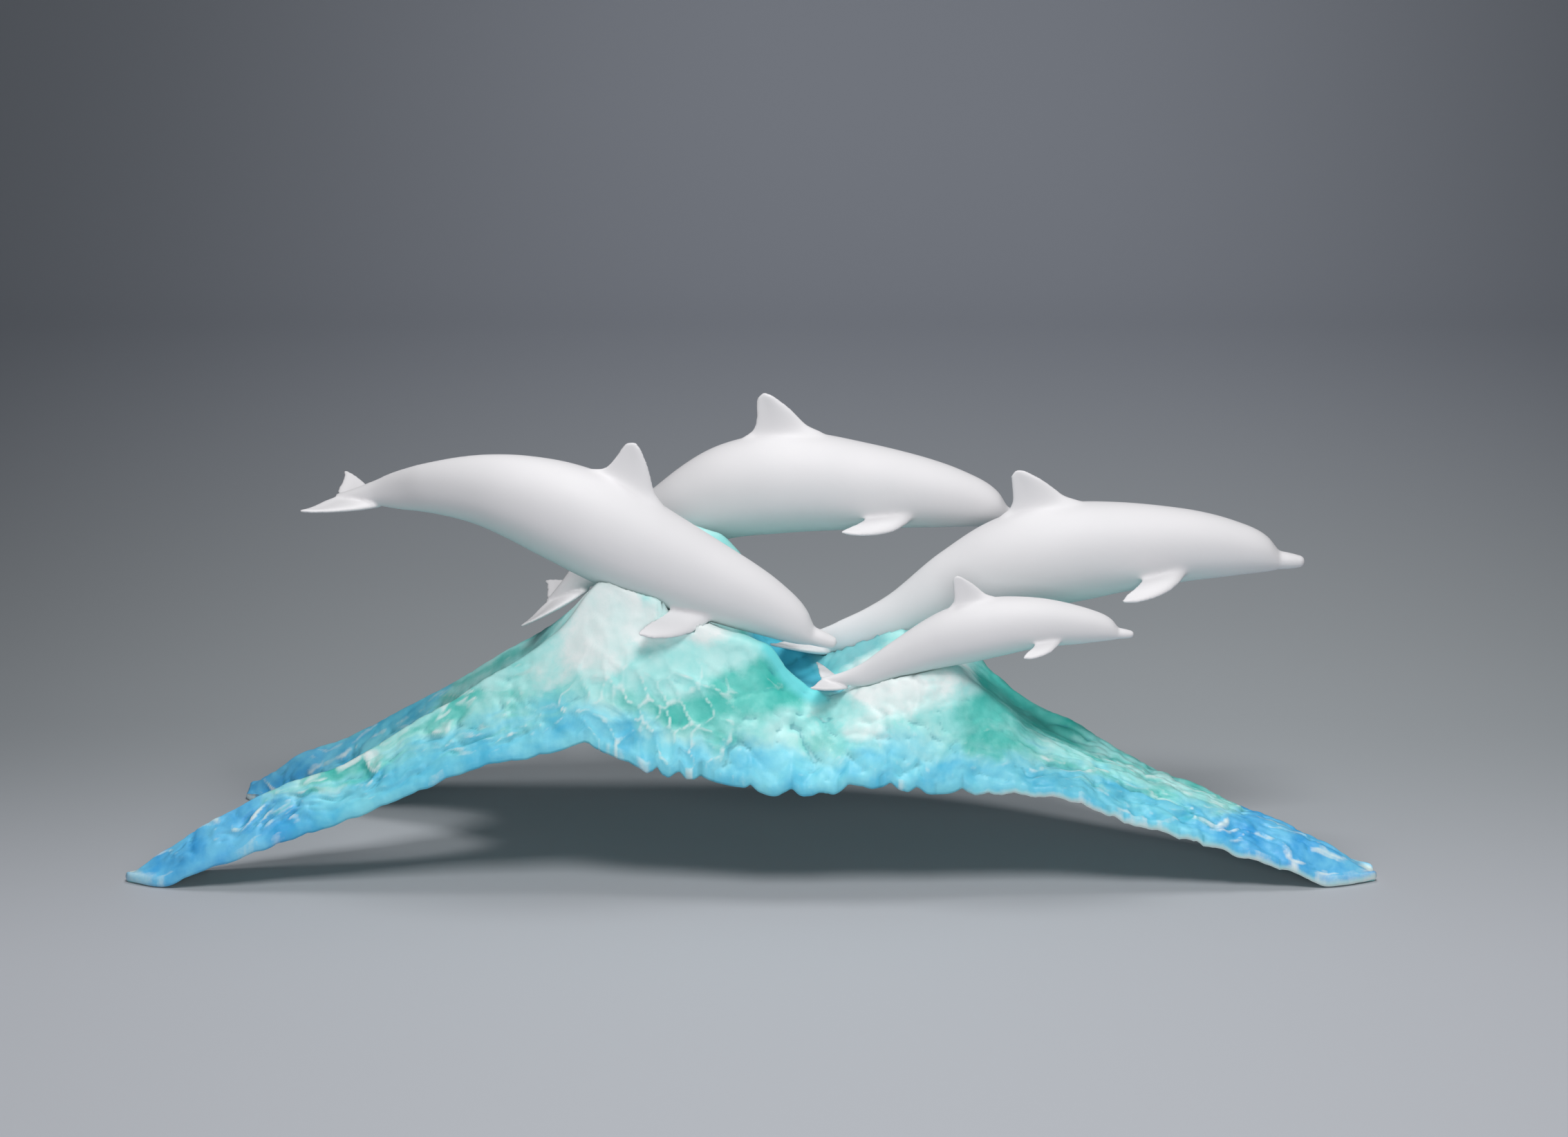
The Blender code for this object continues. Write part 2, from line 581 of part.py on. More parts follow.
def main():
    """Build the wave and the four dolphins, and stand them over the origin."""
    clear_scene()
    figurine = bpy.data.collections.new("dolphin_figurine")
    tools = bpy.data.collections.new("cutters")
    bpy.context.scene.collection.children.link(figurine)
    bpy.context.scene.collection.children.link(tools)

    aqua = painted_resin("aqua painted resin", (0.23, 0.62, 0.62), 0.55)
    wave = make_wave(aqua, figurine, [Spine(plan["spine"]) for plan in DOLPHINS.values()])
    pieces = [wave]
    seats = []
    for name, plan in DOLPHINS.items():
        white = painted_resin(f"matte white resin {name}", (0.80, 0.79, 0.80), 0.6)
        pieces.append(make_dolphin(name, plan, white, figurine, tools))
        seat = make_dolphin(f"{name}_seat", plan, white, tools, tools, grow=SEAT_GAP)
        make_tool(seat)
        seats.append(seat)
    combine(wave, seats, "DIFFERENCE")

    bpy.context.view_layer.update()
    low, high = world_box(pieces)
    stand = bpy.data.objects.new("stand", None)
    stand.location = (-(low[0] + high[0]) / 2, -(low[1] + high[1]) / 2, -low[2])
    figurine.objects.link(stand)
    for piece in pieces:
        piece.parent = stand
    for tool in tools.objects:
        tool.parent = stand
    bpy.context.view_layer.update()


main()
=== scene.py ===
# Looks of the dolphin figurine: four matte white dolphins on a sprayed and dry-brushed wave.
# Lengths are metres, heights are +Z, and the viewer stands on the -Y side.

import math

import bpy
import numpy as np
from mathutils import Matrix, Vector


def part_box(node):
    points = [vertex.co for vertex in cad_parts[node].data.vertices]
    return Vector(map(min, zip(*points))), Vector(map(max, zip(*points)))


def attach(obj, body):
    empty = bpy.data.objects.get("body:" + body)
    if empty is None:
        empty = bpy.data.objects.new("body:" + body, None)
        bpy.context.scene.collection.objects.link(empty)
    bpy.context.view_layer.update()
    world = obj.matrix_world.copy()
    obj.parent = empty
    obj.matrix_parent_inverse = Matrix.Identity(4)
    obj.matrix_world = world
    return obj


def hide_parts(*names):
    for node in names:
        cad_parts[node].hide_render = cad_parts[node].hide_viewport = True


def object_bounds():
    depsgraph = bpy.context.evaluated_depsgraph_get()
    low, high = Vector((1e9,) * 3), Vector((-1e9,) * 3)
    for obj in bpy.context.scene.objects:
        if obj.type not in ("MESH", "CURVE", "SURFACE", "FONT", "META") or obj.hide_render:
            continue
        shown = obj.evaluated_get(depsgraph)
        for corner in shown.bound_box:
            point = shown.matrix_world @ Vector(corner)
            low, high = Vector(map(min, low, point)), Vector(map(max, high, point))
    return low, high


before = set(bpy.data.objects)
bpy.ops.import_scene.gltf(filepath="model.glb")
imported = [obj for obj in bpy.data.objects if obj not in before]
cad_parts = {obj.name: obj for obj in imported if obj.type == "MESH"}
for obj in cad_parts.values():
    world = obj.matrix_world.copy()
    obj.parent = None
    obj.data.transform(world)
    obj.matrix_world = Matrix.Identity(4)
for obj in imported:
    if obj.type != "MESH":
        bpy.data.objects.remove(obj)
cad_low, cad_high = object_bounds()

MM = 0.001
FINE = 1

# The wave's lines in millimetres, left to right: x, y, height.
# A hem's height is that of its lower edge.
FRONT_HEM = (
    (-300, 8, 0), (-284, 1, 0), (-268, -1, 7), (-240, -1, 17), (-216, 0, 26),
    (-193, 0, 34), (-160, 0, 48), (-126, 0, 62), (-100, 0, 67), (-77, 0, 73),
    (-59, -2, 63), (-38, -4, 59), (-15, -6, 56), (11, -8, 51), (34, -8, 50),
    (54, -8, 55), (77, -7, 52), (103, -5, 50), (129, -3, 48), (152, -2, 44),
    (176, -1, 34), (209, 0, 24), (236, 0, 15), (263, 0, 6), (277, 1, 0),
    (300, 9, 0))
FRONT_CREST = (
    (-300, 11, 2), (-264, 12, 27), (-230, 14, 44), (-196, 16, 56), (-162, 19, 76),
    (-128, 22, 97), (-94, 24, 118), (-66, 24, 149), (-56, 24, 146), (-36, 22, 133),
    (-15, 21, 122.5), (5, 21, 114.5), (18, 22, 100), (31, 22, 91), (40, 20, 90),
    (52, 17, 95), (71, 15, 102), (97, 17, 103), (111, 22, 92), (124, 24, 81),
    (138, 25, 69), (165, 24, 56), (200, 22, 42), (240, 18, 28), (272, 14, 17),
    (300, 12, 2))
POOL = (
    (-118, 69, 64), (-90, 68, 88), (-60, 66, 116), (-30, 64, 118), (-8, 60, 108),
    (12, 54, 92), (30, 48, 85), (48, 46, 92), (71, 46, 103), (92, 48, 107),
    (108, 52, 92), (124, 48, 77), (150, 44, 61), (200, 36, 42), (250, 24, 25),
    (300, 14, 2))
REAR_CREST = (
    (-262, 135, 4), (-237, 130, 22), (-209, 127, 34), (-173, 123, 54), (-137, 119, 75),
    (-101, 115, 99), (-81, 112, 118), (-55, 103, 143), (-32, 93, 156), (-17, 92, 152),
    (-7, 92, 143), (6, 92, 118), (22, 86, 100), (36, 78, 97), (52, 72, 103),
    (71, 70, 111), (88, 72, 122), (100, 72, 116), (112, 71, 93), (124, 68, 81),
    (140, 63, 70), (157, 57, 64), (174, 52, 55), (207, 42, 41), (240, 32, 29),
    (272, 24, 17), (300, 17, 2))
REAR_HEM = (
    (-262, 142, 0), (-250, 147, 0), (-235, 149, 7), (-200, 152, 22), (-160, 155, 42),
    (-110, 157, 60), (-60, 158, 68), (-20, 157, 62), (20, 153, 54), (60, 146, 52),
    (100, 134, 49), (130, 119, 44), (160, 101, 37), (200, 76, 24), (240, 54, 12),
    (268, 38, 2), (284, 30, 0), (300, 19, 0))
FRONT_LEG_INNER = (
    (-300, 14, 0), (-284, 20, 0), (-268, 23, 6), (-240, 29, 14), (-216, 34, 25),
    (-193, 39, 33), (-160, 47, 46), (-135, 57, 57), (-118, 69, 64))
REAR_LEG_INNER = (
    (-262, 128, 0), (-250, 121, 0), (-235, 116, 8), (-209, 109, 20), (-173, 99, 38),
    (-145, 87, 52), (-118, 69, 64))

# Walls and edges of the wave
SHEET = 7.0 * MM
LIP = 5.0 * MM
SEAT_GAP = 0.3 * MM
THIN_WALL = 3.0 * MM
FOOT_RISE = 4.5 * MM
FOOT_TIP = 3.2 * MM
FOOT_ROUND = 9.0 * MM
FOOT_SOFT = 1.0 * MM
RIM_BULGE = 1.6 * MM
STEEPEST = 2.4
SEAT_PAD = 13.0 * MM
SEAT_PAD_REACH = 34.0 * MM
SEAT_PAD_DROP = 30.0 * MM
# Places along a spine under which the wall is thicker
SEAT_PLACES = slice(80, 330, 25)
# The water's relief fades out below this height, towards the feet
RELIEF_FROM = 24 * MM

# Steps of the wave's grid; every count is even, because the inside has half of them
ALONG = 520 // FINE
FACE_STEPS = 56 // FINE
BOWL_STEPS = 20 // FINE
BACK_STEPS = 44 // FINE
RIM_STEPS = 4
# How the folds across it are rounded: rounds of running means, how many rows a held row
# reaches, and the columns over which the hold at the fork of the left legs fades
DRAPE_ROUNDS = 40 // FINE**2
HOLD_ROWS = 7.0
FORK_FADE = 30

# A dolphin's body as shares of its length, snout to the notch of the flukes:
# station, half height, half width over half height, drop of the centre below the spine
BODY = (
    (0.000, 0.0060, 1.15, 0.0240), (0.012, 0.0115, 1.20, 0.0238),
    (0.030, 0.0150, 1.20, 0.0232), (0.048, 0.0172, 1.18, 0.0222),
    (0.056, 0.0225, 1.10, 0.0190), (0.070, 0.0320, 0.97, 0.0125),
    (0.090, 0.0400, 0.93, 0.0075), (0.115, 0.0470, 0.91, 0.0042),
    (0.165, 0.0585, 0.91, 0.0012), (0.220, 0.0675, 0.92, 0.0000),
    (0.280, 0.0760, 0.92, 0.0000), (0.350, 0.0850, 0.91, 0.0000),
    (0.420, 0.0925, 0.89, 0.0000), (0.490, 0.0945, 0.88, 0.0000),
    (0.560, 0.0905, 0.86, 0.0000), (0.640, 0.0790, 0.81, 0.0000),
    (0.720, 0.0640, 0.74, 0.0000), (0.800, 0.0495, 0.64, 0.0000),
    (0.870, 0.0375, 0.52, 0.0000), (0.920, 0.0240, 0.60, 0.0000),
    (0.950, 0.0155, 0.85, 0.0000), (0.980, 0.0080, 1.40, 0.0000),
    (1.000, 0.0040, 2.20, 0.0000))
# Dorsal fin: share of its height, station of the leading and of the trailing edge
DORSAL = (
    (-0.30, 0.385, 0.590), (0.00, 0.414, 0.561), (0.15, 0.436, 0.544),
    (0.40, 0.454, 0.536), (0.64, 0.472, 0.531), (0.86, 0.490, 0.527),
    (1.00, 0.500, 0.521))
DORSAL_THICK = 0.0150
# Share of that half thickness at levels of the fin
DORSAL_TAPER = ((-0.30, 1.70), (0.00, 1.15), (0.15, 0.75), (0.50, 0.52), (1.00, 0.30))
# Flukes: share of the half span, leading and trailing edge behind the notch, half thickness
FLUKE = (
    (0.00, -0.090, -0.004, 0.0090), (0.15, -0.079, 0.005, 0.0085),
    (0.35, -0.062, 0.011, 0.0070), (0.60, -0.036, 0.016, 0.0052),
    (0.82, -0.009, 0.022, 0.0038), (0.95, 0.012, 0.028, 0.0031),
    (1.00, 0.024, 0.030, 0.0028))
FLUKE_HALF_SPAN = 0.113
FLUKE_RISE = 0.005
# Flipper: share of the way along its bent axis, which starts inside the body; chord, half
# thickness, slip of the chord's middle to the rear
FLIPPER = (
    (0.00, 0.064, 0.0130, 0.000), (0.22, 0.068, 0.0125, 0.001),
    (0.42, 0.064, 0.0095, 0.005), (0.64, 0.053, 0.0070, 0.006),
    (0.86, 0.034, 0.0050, 0.005), (1.00, 0.015, 0.0032, 0.004))
FLIPPER_STATION = 0.255
# Where the flipper's axis starts and turns, square to the body's face, as shares of its reach
FLIPPER_ROOT = -0.28
FLIPPER_TURN = 0.24
# Half the thickness that a fin's edge keeps
FIN_EDGE = 0.75 * MM
# Rounds of softening that give the fillets at the fins' roots
FILLET_ROUNDS = 26 // FINE**2
# Share of a fin at which its tip starts to round off
TIP_START = 0.86
# Steps along a spine, and places round a body and round a fin
SPINE_STEPS = 400
BODY_AROUND, FIN_AROUND = 96, 48
COARSE = 1.7 if FINE > 1 else 1

# Each dolphin: its spine in millimetres, snout to notch. As shares of its length, the reach
# of its flippers to the rear, outward and down, and the height of its dorsal fin and how far
# that sits forward. As a share of the body's half height, how low the flippers start. In
# degrees, how far the flukes roll up at the far side and pitch up behind. In millimetres,
# the cell of the casting's mesh.
DOLPHINS = {
    "dolphin_left": {
        "spine": ((43, 34, 118), (22, 34, 124.5), (1, 35, 133.5), (-21, 36, 143.2),
                  (-56, 36, 160), (-86, 37, 175), (-127, 41, 186), (-154, 48, 185.5),
                  (-180, 59, 180.5), (-201, 64.5, 177.5)),
        "flipper": (0.084, 0.079, 0.056), "flipper_low": 0.80, "fluke_roll": 6,
        "fluke_pitch": 16, "fin_height": 0.078, "fin_forward": 0.018, "voxel": 0.75},
    "dolphin_rear": {
        "spine": ((141, 112, 159.5), (108, 112, 164.5), (56, 112, 171), (21, 112, 173),
                  (-10, 113, 168.5), (-38, 115, 155), (-80, 123, 126.5), (-105, 129, 106.5)),
        "flipper": (0.103, 0.061, 0.026), "flipper_low": 0.57, "fluke_roll": 9,
        "fluke_pitch": 18, "fin_height": 0.079, "fin_forward": 0.019, "voxel": 0.75},
    "dolphin_right": {
        "spine": ((271, 72, 149), (241, 72, 150), (207, 72, 151), (160, 72, 148),
                  (133, 72, 143), (103, 72, 130), (72, 72, 113), (43, 72, 104),
                  (16, 72, 102)),
        "flipper": (0.095, 0.067, 0.034), "flipper_low": 0.58, "fluke_roll": -8,
        "fluke_pitch": 18, "fin_height": 0.077, "fin_forward": 0.010, "voxel": 0.75},
    "dolphin_calf": {
        "spine": ((182, 18, 125), (156, 18, 126), (136, 18, 127), (116, 18, 125),
                  (96, 18, 120), (70, 18, 109), (52, 18.3, 100.5), (33.5, 20, 98.5)),
        "flipper": (0.090, 0.064, 0.042), "flipper_low": 0.62, "fluke_roll": 4,
        "fluke_pitch": 24, "fin_height": 0.091, "fin_forward": 0.003, "voxel": 0.5},
}

# Relief of the water in millimetres: the middle between the legs and how far from it they
# start, how long, wide and tall their strands are, and the sizes and heights of the puffs,
# the web of dents, the lumps, the chop, the swells and the hem's lobes
LEG_MIDDLE = 10
LEG_REACH = (60, 150)
STRAND_LONG, STRAND_WIDE, STRAND_TALL = 20, 6.5, 0.45
PUFF_SIZE, PUFF_TALL = 8.5, 1.9
WEB_SIZE, WEB_TALL = 10.5, 1.8
LUMP_SIZE, LUMP_TALL = 12.5, 3.0
CHOP_SIZE, CHOP_TALL = 5.6, 1.3
SWELL_SIZE, SWELL_TALL = 27, 1.8
LOBE_STEP, LOBE_PUFF, LOBE_DEEP = 16, 1.2, 4.6
# Wanderings of the pattern along and across the wave: how far, their size, and their seed
WANDER_ALONG = ((7, 26, 11), (5, 60, 12), (2.6, 8, 15))
WANDER_ACROSS = ((6, 24, 13), (2.2, 8, 16))
# The thin lip of the front crest in front of the pool, and its place from front to back
LIP_TALL, LIP_Y = 1.5, 21.5

# Airbrush spots on the wave in millimetres: x, height, half length, half height, strength
WHITE_SPOTS = ((-66, 146, 28, 28, 1.0), (-44, 132, 28, 18, 0.9), (-18, 122, 20, 9, 0.8),
               (-78, 116, 30, 17, 0.8), (60, 96, 30, 13, 0.9), (88, 100, 24, 12, 0.95),
               (52, 78, 18, 9, 0.5), (-102, 100, 20, 10, 0.5))
GREEN_SPOTS = ((9, 97, 20, 19, 1.0), (-6, 97, 18, 11, 0.8), (-54, 90, 26, 10, 0.5),
               (-32, 86, 20, 9, 0.6), (112, 84, 20, 14, 0.75), (130, 70, 42, 16, 0.55),
               (30, 70, 18, 9, 0.5), (-12, 74, 14, 8, 0.5), (165, 50, 40, 14, 0.3))
BLUE_SPOTS = ((-92, 84, 22, 13, 0.75), (70, 68, 22, 11, 0.85), (12, 66, 24, 9, 0.55))
# How far up from the hem the sky blue reaches, in millimetres
HEM_BLUE = 14
# How white the resin is where no paint reaches, under the rim, and how much teal drifts inside
BARE_RESIN = 0.85
INSIDE_TEAL = 0.9
# Paints of the wave, the sprayed ones each with the shade that clouds it
PAINTS = {"mint": ("#92E2DF", "#BCEEEB"), "green": ("#38BAAE", "#66D0C6"),
          "sky": ("#54C0E2", "#84DCEC"), "blue": ("#3CA4E2", "#70C8EE"),
          "white": ("#EFF6F5", "#D6EEEC"), "pool": ("#4DBAD2",), "lip": ("#70DEE2",),
          # The dark teal is painted shade in the creases and behind the pool, and also the teal
          # drift inside.
          "painted_shade_and_inside_teal": ("#2C8C9C",)}
# Its coats in their order: the mesh value that gives a coat's share and then names the mix,
# what is under and over it, how far fine noise breaks up its edge, and its most
COATS = (("foot", "sky", "blue", 0.3, 1.0), ("green", "mint", "green", 0.35, 1.0),
         ("sky", "green", "foot", 0.3, 1.0), ("pool", "sky", "pool", 0.15, 1.0),
         # The dark teal coat, at most about half, is painted shade; inside it stands for teal
         # overspray.
         ("lip", "pool", "lip", 0.15, 1.0), ("painted_shade_and_inside_teal", "lip", "painted_shade_and_inside_teal", 0.2, 0.48),
         ("white", "painted_shade_and_inside_teal", "white", 0.55, 1.0))
# A node that mixes two colours, its output and its setting
MIX = ("Mix", 2, {"data_type": "RGBA"})

# Soft boxes: place, height they aim at, side in metres, and power in watts
SOFT_BOXES = {"key_box": ((0.18, -0.72, 1.48), 0.1, 0.5, 13.8),
              "top_box": ((0.05, 0.15, 1.25), 0.05, 0.35, 4.4),
              "low_box": ((0.10, -2.10, 0.60), 0.1, 0.7, 13.0)}
# Camera: place in the tables' millimetres, degrees up from straight down, lens and sensor
CAMERA_PLACE, CAMERA_TILT = (15.74, -1400.47, 533.72), 75
LENS, SENSOR = 71.43, 36.0

# The tables' frame has its origin midway between the front feet; the wave's box places it
STAND = np.array(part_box("wave_base")[0]) - np.array([FRONT_HEM[0][0], FRONT_HEM[14][1], 0]) * MM


def linear(code):
    """A hex colour, as it shows on a screen, turned to the linear values a shader takes."""
    parts = np.array([int(code[k:k + 2], 16) for k in (1, 3, 5)]) / 255
    parts = np.where(parts <= 0.04045, parts / 12.92, ((parts + 0.055) / 1.055) ** 2.4)
    return (*parts, 1.0)


def ease(low, high, value):
    """Zero below 'low', one above 'high' and an S-curve between them."""
    t = np.clip((value - low) / (high - low), 0, 1)
    return t * t * (3 - 2 * t)


def band(rise, fall, value):
    """One between two ranges of the value: up through 'rise' and down through 'fall'."""
    return ease(*rise, value) * (1 - ease(*fall, value))


def between(at, x, rows):
    """Rows given at x, read at 'at' by straight pieces."""
    return np.stack([np.interp(at, x, column) for column in rows.T], axis=-1)


def unit(vectors):
    """Rows scaled to length one."""
    return vectors / np.maximum(np.linalg.norm(vectors, axis=-1, keepdims=True), 1e-12)


def hermite(x, y, slope, at):
    """Cubic pieces through rows y at x with the given slopes, read at 'at'."""
    k = np.clip(np.searchsorted(x, at, side="right") - 1, 0, len(x) - 2)
    step = (x[k + 1] - x[k])[:, None]
    f = (at - x[k])[:, None] / step
    return ((2 * f**3 - 3 * f**2 + 1) * y[k] + (f**3 - 2 * f**2 + f) * step * slope[k]
            + (3 * f**2 - 2 * f**3) * y[k + 1] + (f**3 - f**2) * step * slope[k + 1])


def read_table(table, at):
    """Columns of a table at places 'at': cubic pieces that never overshoot a row."""
    table = np.asarray(table, float)
    x = table[:, 0]
    y = table[:, 1:]
    secant = np.diff(y, axis=0) / np.diff(x)[:, None]
    product = secant[1:] * secant[:-1]
    total = secant[1:] + secant[:-1]
    inner = np.where(product > 0, 2 * product / np.where(total == 0, 1, total), 0)
    slope = np.vstack([secant[:1], inner, secant[-1:]])
    return hermite(x, y, slope, np.clip(np.asarray(at, float), x[0], x[-1]))


def path_run(points):
    """Distance gone along a row of points."""
    return np.concatenate([[0], np.cumsum(np.linalg.norm(np.diff(points, axis=0), axis=1))])


def smooth_curve(points, steps):
    """Smooth curve through the points, in even steps along it, and its length."""
    gone = path_run(points)
    fine = hermite(gone, points, np.gradient(points, gone, axis=0),
                   np.linspace(0, gone[-1], steps))
    run = path_run(fine)
    return between(np.linspace(0, run[-1], steps + 1), run, fine), run[-1]


def flow_noise(points, seed):
    """Smooth noise from -1 to 1: random slopes on a unit lattice of three dimensions,
    blended between the lattice's corners by a fifth-power S-curve."""
    rng = np.random.default_rng(seed)
    order = rng.permutation(256)
    slopes = unit(rng.normal(size=(256, 3)))
    cell = np.floor(points).astype(int)
    inside = points - cell
    blend = inside**3 * (inside * (inside * 6 - 15) + 10)
    total = np.zeros(points.shape[:-1])
    for corner in np.ndindex(2, 2, 2):
        at = cell + corner
        key = order[(order[(order[at[..., 0] & 255] + at[..., 1]) & 255] + at[..., 2]) & 255]
        rise = ((inside - corner) * slopes[key]).sum(axis=-1)
        total += rise * np.where(corner, blend, 1 - blend).prod(axis=-1)
    return total * 1.6


def layered(points, seed, layers=3):
    """Noise with finer noise added to it, each layer twice as fine and half as strong."""
    total = np.zeros(points.shape[:-1])
    for k in range(layers):
        total += flow_noise(points * 2**k, seed + k) / 2**k
    return total


def dents(a, b, seed):
    """Cells on a plane: distance to the nearest and the second nearest of the points that
    are scattered one to each unit square."""
    rng = np.random.default_rng(seed)
    spots = rng.random((256, 2))
    order = rng.permutation(256)
    cell_a = np.floor(a).astype(int)
    cell_b = np.floor(b).astype(int)
    first = np.full(a.shape, 9.0)
    second = np.full(a.shape, 9.0)
    for da, db in np.ndindex(3, 3):
        ca = cell_a + da - 1
        cb = cell_b + db - 1
        spot = spots[order[(order[ca & 255] + cb) & 255]]
        gap = np.hypot(ca + spot[..., 0] - a, cb + spot[..., 1] - b)
        second = np.minimum(second, np.maximum(first, gap))
        first = np.minimum(first, gap)
    return first, second


def put_mesh(name, points, faces):
    """Mesh object from an array of points and a list of arrays of quads or triangles."""
    mesh = bpy.data.meshes.new(name)
    mesh.vertices.add(len(points))
    mesh.vertices.foreach_set("co", points.astype(np.float32).ravel())
    sizes = np.concatenate([np.full(len(f), f.shape[1]) for f in faces])
    mesh.loops.add(int(sizes.sum()))
    mesh.loops.foreach_set("vertex_index",
                           np.concatenate([f.ravel() for f in faces]).astype(np.int32))
    mesh.polygons.add(len(sizes))
    starts = np.concatenate([[0], np.cumsum(sizes)[:-1]]).astype(np.int32)
    mesh.polygons.foreach_set("loop_start", starts)
    mesh.update(calc_edges=True)
    mesh.validate()
    thing = bpy.data.objects.new(name, mesh)
    bpy.context.scene.collection.objects.link(thing)
    return thing


def paint_value(mesh, name, values):
    """Store one number for each vertex, for the material to read."""
    layer = mesh.attributes.new(name, "FLOAT", "POINT")
    layer.data.foreach_set("value", np.asarray(values, np.float32))


def read_all(items, field, wide=3, kind=float):
    """A field of all of a mesh's items, as rows so many numbers wide."""
    flat = np.empty(len(items) * wide, kind)
    items.foreach_get(field, flat)
    return flat.reshape(-1, wide)


class Spine:
    """The bent axis of a dolphin, with its length and the directions along it."""

    def __init__(self, points_mm):
        self.points, self.length = smooth_curve(np.array(points_mm, float) * MM, SPINE_STEPS)
        self.points = self.points + STAND
        self.station = np.linspace(0, 1, SPINE_STEPS + 1)
        self.aft = unit(np.gradient(self.points, axis=0))
        self.up = unit(np.array([0, 0, 1.0]) - self.aft[:, 2:3] * self.aft)
        self.far = np.cross(self.aft, self.up)

    def frame(self, at):
        """Place, aft, up and far directions at stations; past an end it runs straight."""
        place, aft, up, far = (between(at, self.station, rows)
                               for rows in (self.points, self.aft, self.up, self.far))
        aft = unit(aft)
        past = (at - np.clip(at, 0, 1)) * self.length
        return place + aft * past[..., None], aft, unit(up), unit(far)


def grid_quads(index, after):
    """Quads between the rows of a grid's numbers and the same rows one place on."""
    return np.stack([index[:-1], after[:-1], after[1:], index[1:]], axis=-1).reshape(-1, 4)


def loft_faces(count, around, first):
    """Quads between closed rings and a fan of triangles over each end ring's middle."""
    index = np.arange(count * around).reshape(count, around) + first
    after = np.roll(index, -1, axis=1)
    middle = np.full(around, count * around + first)
    caps = np.concatenate([np.stack([middle, after[0], index[0]], axis=1),
                           np.stack([middle + 1, index[-1], after[-1]], axis=1)])
    return grid_quads(index, after), caps


def stack_lofts(lofts):
    """Points and faces of several closed lofts, each given as an array of rings."""
    points = []
    faces = []
    count = 0
    for rings in lofts:
        ends = np.stack([rings[0].mean(axis=0), rings[-1].mean(axis=0)])
        points.append(np.concatenate([rings.reshape(-1, 3), ends]))
        faces.extend(loft_faces(rings.shape[0], rings.shape[1], count))
        count += len(points[-1])
    return np.concatenate(points), faces


def foil_rings(lead, trail, side, half):
    """Rings of a fin: an airfoil's thickness along each chord, nowhere thinner than the
    fins' edge, with round leading and trailing edges."""
    turn = np.linspace(0, 2 * math.pi, FIN_AROUND, endpoint=False)
    share = (1 - np.cos(turn)) / 2
    body = 2.6 * np.sqrt(share) - 1.2 * share - 2.9 * share**2 + 1.5 * share**3
    chord = np.linalg.norm(trail - lead, axis=-1)[:, None]
    thick = np.maximum(half[:, None] * body, FIN_EDGE)
    round_front = np.sqrt(np.clip(share * chord / np.maximum(thick, FIN_EDGE + 1e-9), 0, 1))
    round_rear = np.sqrt(np.clip((1 - share) * chord / (FIN_EDGE + 0.5 * MM), 0, 1))
    bulge = np.sign(np.sin(turn)) * thick * round_front * round_rear
    return (lead[:, None] + (trail - lead)[:, None] * share[None, :, None]
            + side[:, None] * bulge[..., None])


def tip_round(share):
    """Shrinks the end of a fin along a quarter of an ellipse, up to its tip."""
    past = np.clip((share - TIP_START) / (1 - TIP_START), 0, 1)
    return np.sqrt(np.clip(1 - past**2, 0.0025, 1))


def body_rings(spine):
    """Rings of the body: ovals that turn to a lens towards the tail, snout first."""
    snout = BODY[1][0]
    end = np.linspace(0, 1, 10) ** 2 * snout
    spread = np.concatenate([end, np.linspace(snout, 1, 240)[1:]])
    half, ratio, drop = read_table(BODY, spread).T
    nose = np.sqrt(np.clip(1 - (1 - np.clip(spread / snout, 0, 1)) ** 2, 0.01, 1))
    half = np.where(spread < snout, BODY[1][1] * nose, half)
    place, aft, up, far = spine.frame(spread)
    place = place - up * (drop * spine.length)[:, None]
    angle = np.linspace(0, 2 * math.pi, BODY_AROUND, endpoint=False)
    lens = 1.0 + 0.35 * np.clip((spread - 0.55) / 0.3, 0, 1)
    across = np.sign(np.cos(angle)) * np.abs(np.cos(angle))[None] ** lens[:, None]
    tall = half * spine.length
    wide = tall * ratio
    return (place[:, None] + up[:, None] * (tall[:, None] * np.sin(angle)[None])[..., None]
            + far[:, None] * (wide[:, None] * across)[..., None])


def dorsal_rings(spine, height, forward):
    """Rings of the fin on the back, from inside the body to the tip."""
    level = np.concatenate([np.linspace(-0.3, 0.9, 36), 1 - np.linspace(0.3, 0, 12)[1:] ** 2])
    level = np.unique(np.round(level, 6))
    front, rear = read_table(DORSAL, level).T
    middle = (front + rear) / 2 - forward
    place, aft, up, far = spine.frame(middle)
    back = read_table(BODY, middle)[:, 0] * spine.length
    seat = place + up * (back + level * height * spine.length)[:, None]
    tip = tip_round(level)
    chord = aft * ((rear - front) / 2 * spine.length * np.maximum(tip, 0.35))[:, None]
    half = DORSAL_THICK * spine.length * read_table(DORSAL_TAPER, level)[:, 0] * tip
    return foil_rings(seat - chord, seat + chord, far, half)


def turned(first, second, degrees):
    """Two square directions turned in their plane, the first towards the second."""
    cosine = math.cos(math.radians(degrees))
    sine = math.sin(math.radians(degrees))
    return first * cosine + second * sine, second * cosine - first * sine


def fluke_rings(spine, roll, pitch):
    """Rings of the flukes, from the near tip through the tail to the far tip."""
    reach = np.sin(np.linspace(-1, 1, 81) * math.pi / 2)
    span = np.abs(reach)
    front, rear, half = read_table(FLUKE, span).T
    place, aft, up, far = (v[0] for v in spine.frame(np.array([1.0])))
    far, up = turned(far, up, roll)
    aft, up = turned(aft, up, pitch)
    size = spine.length
    middle = (place + far * (reach * FLUKE_HALF_SPAN * size)[:, None]
              + up * (FLUKE_RISE * size * span**2)[:, None])
    return foil_rings(middle + aft * (front * size)[:, None],
                      middle + aft * (rear * size)[:, None],
                      np.repeat(up[None], len(span), axis=0), half * size)


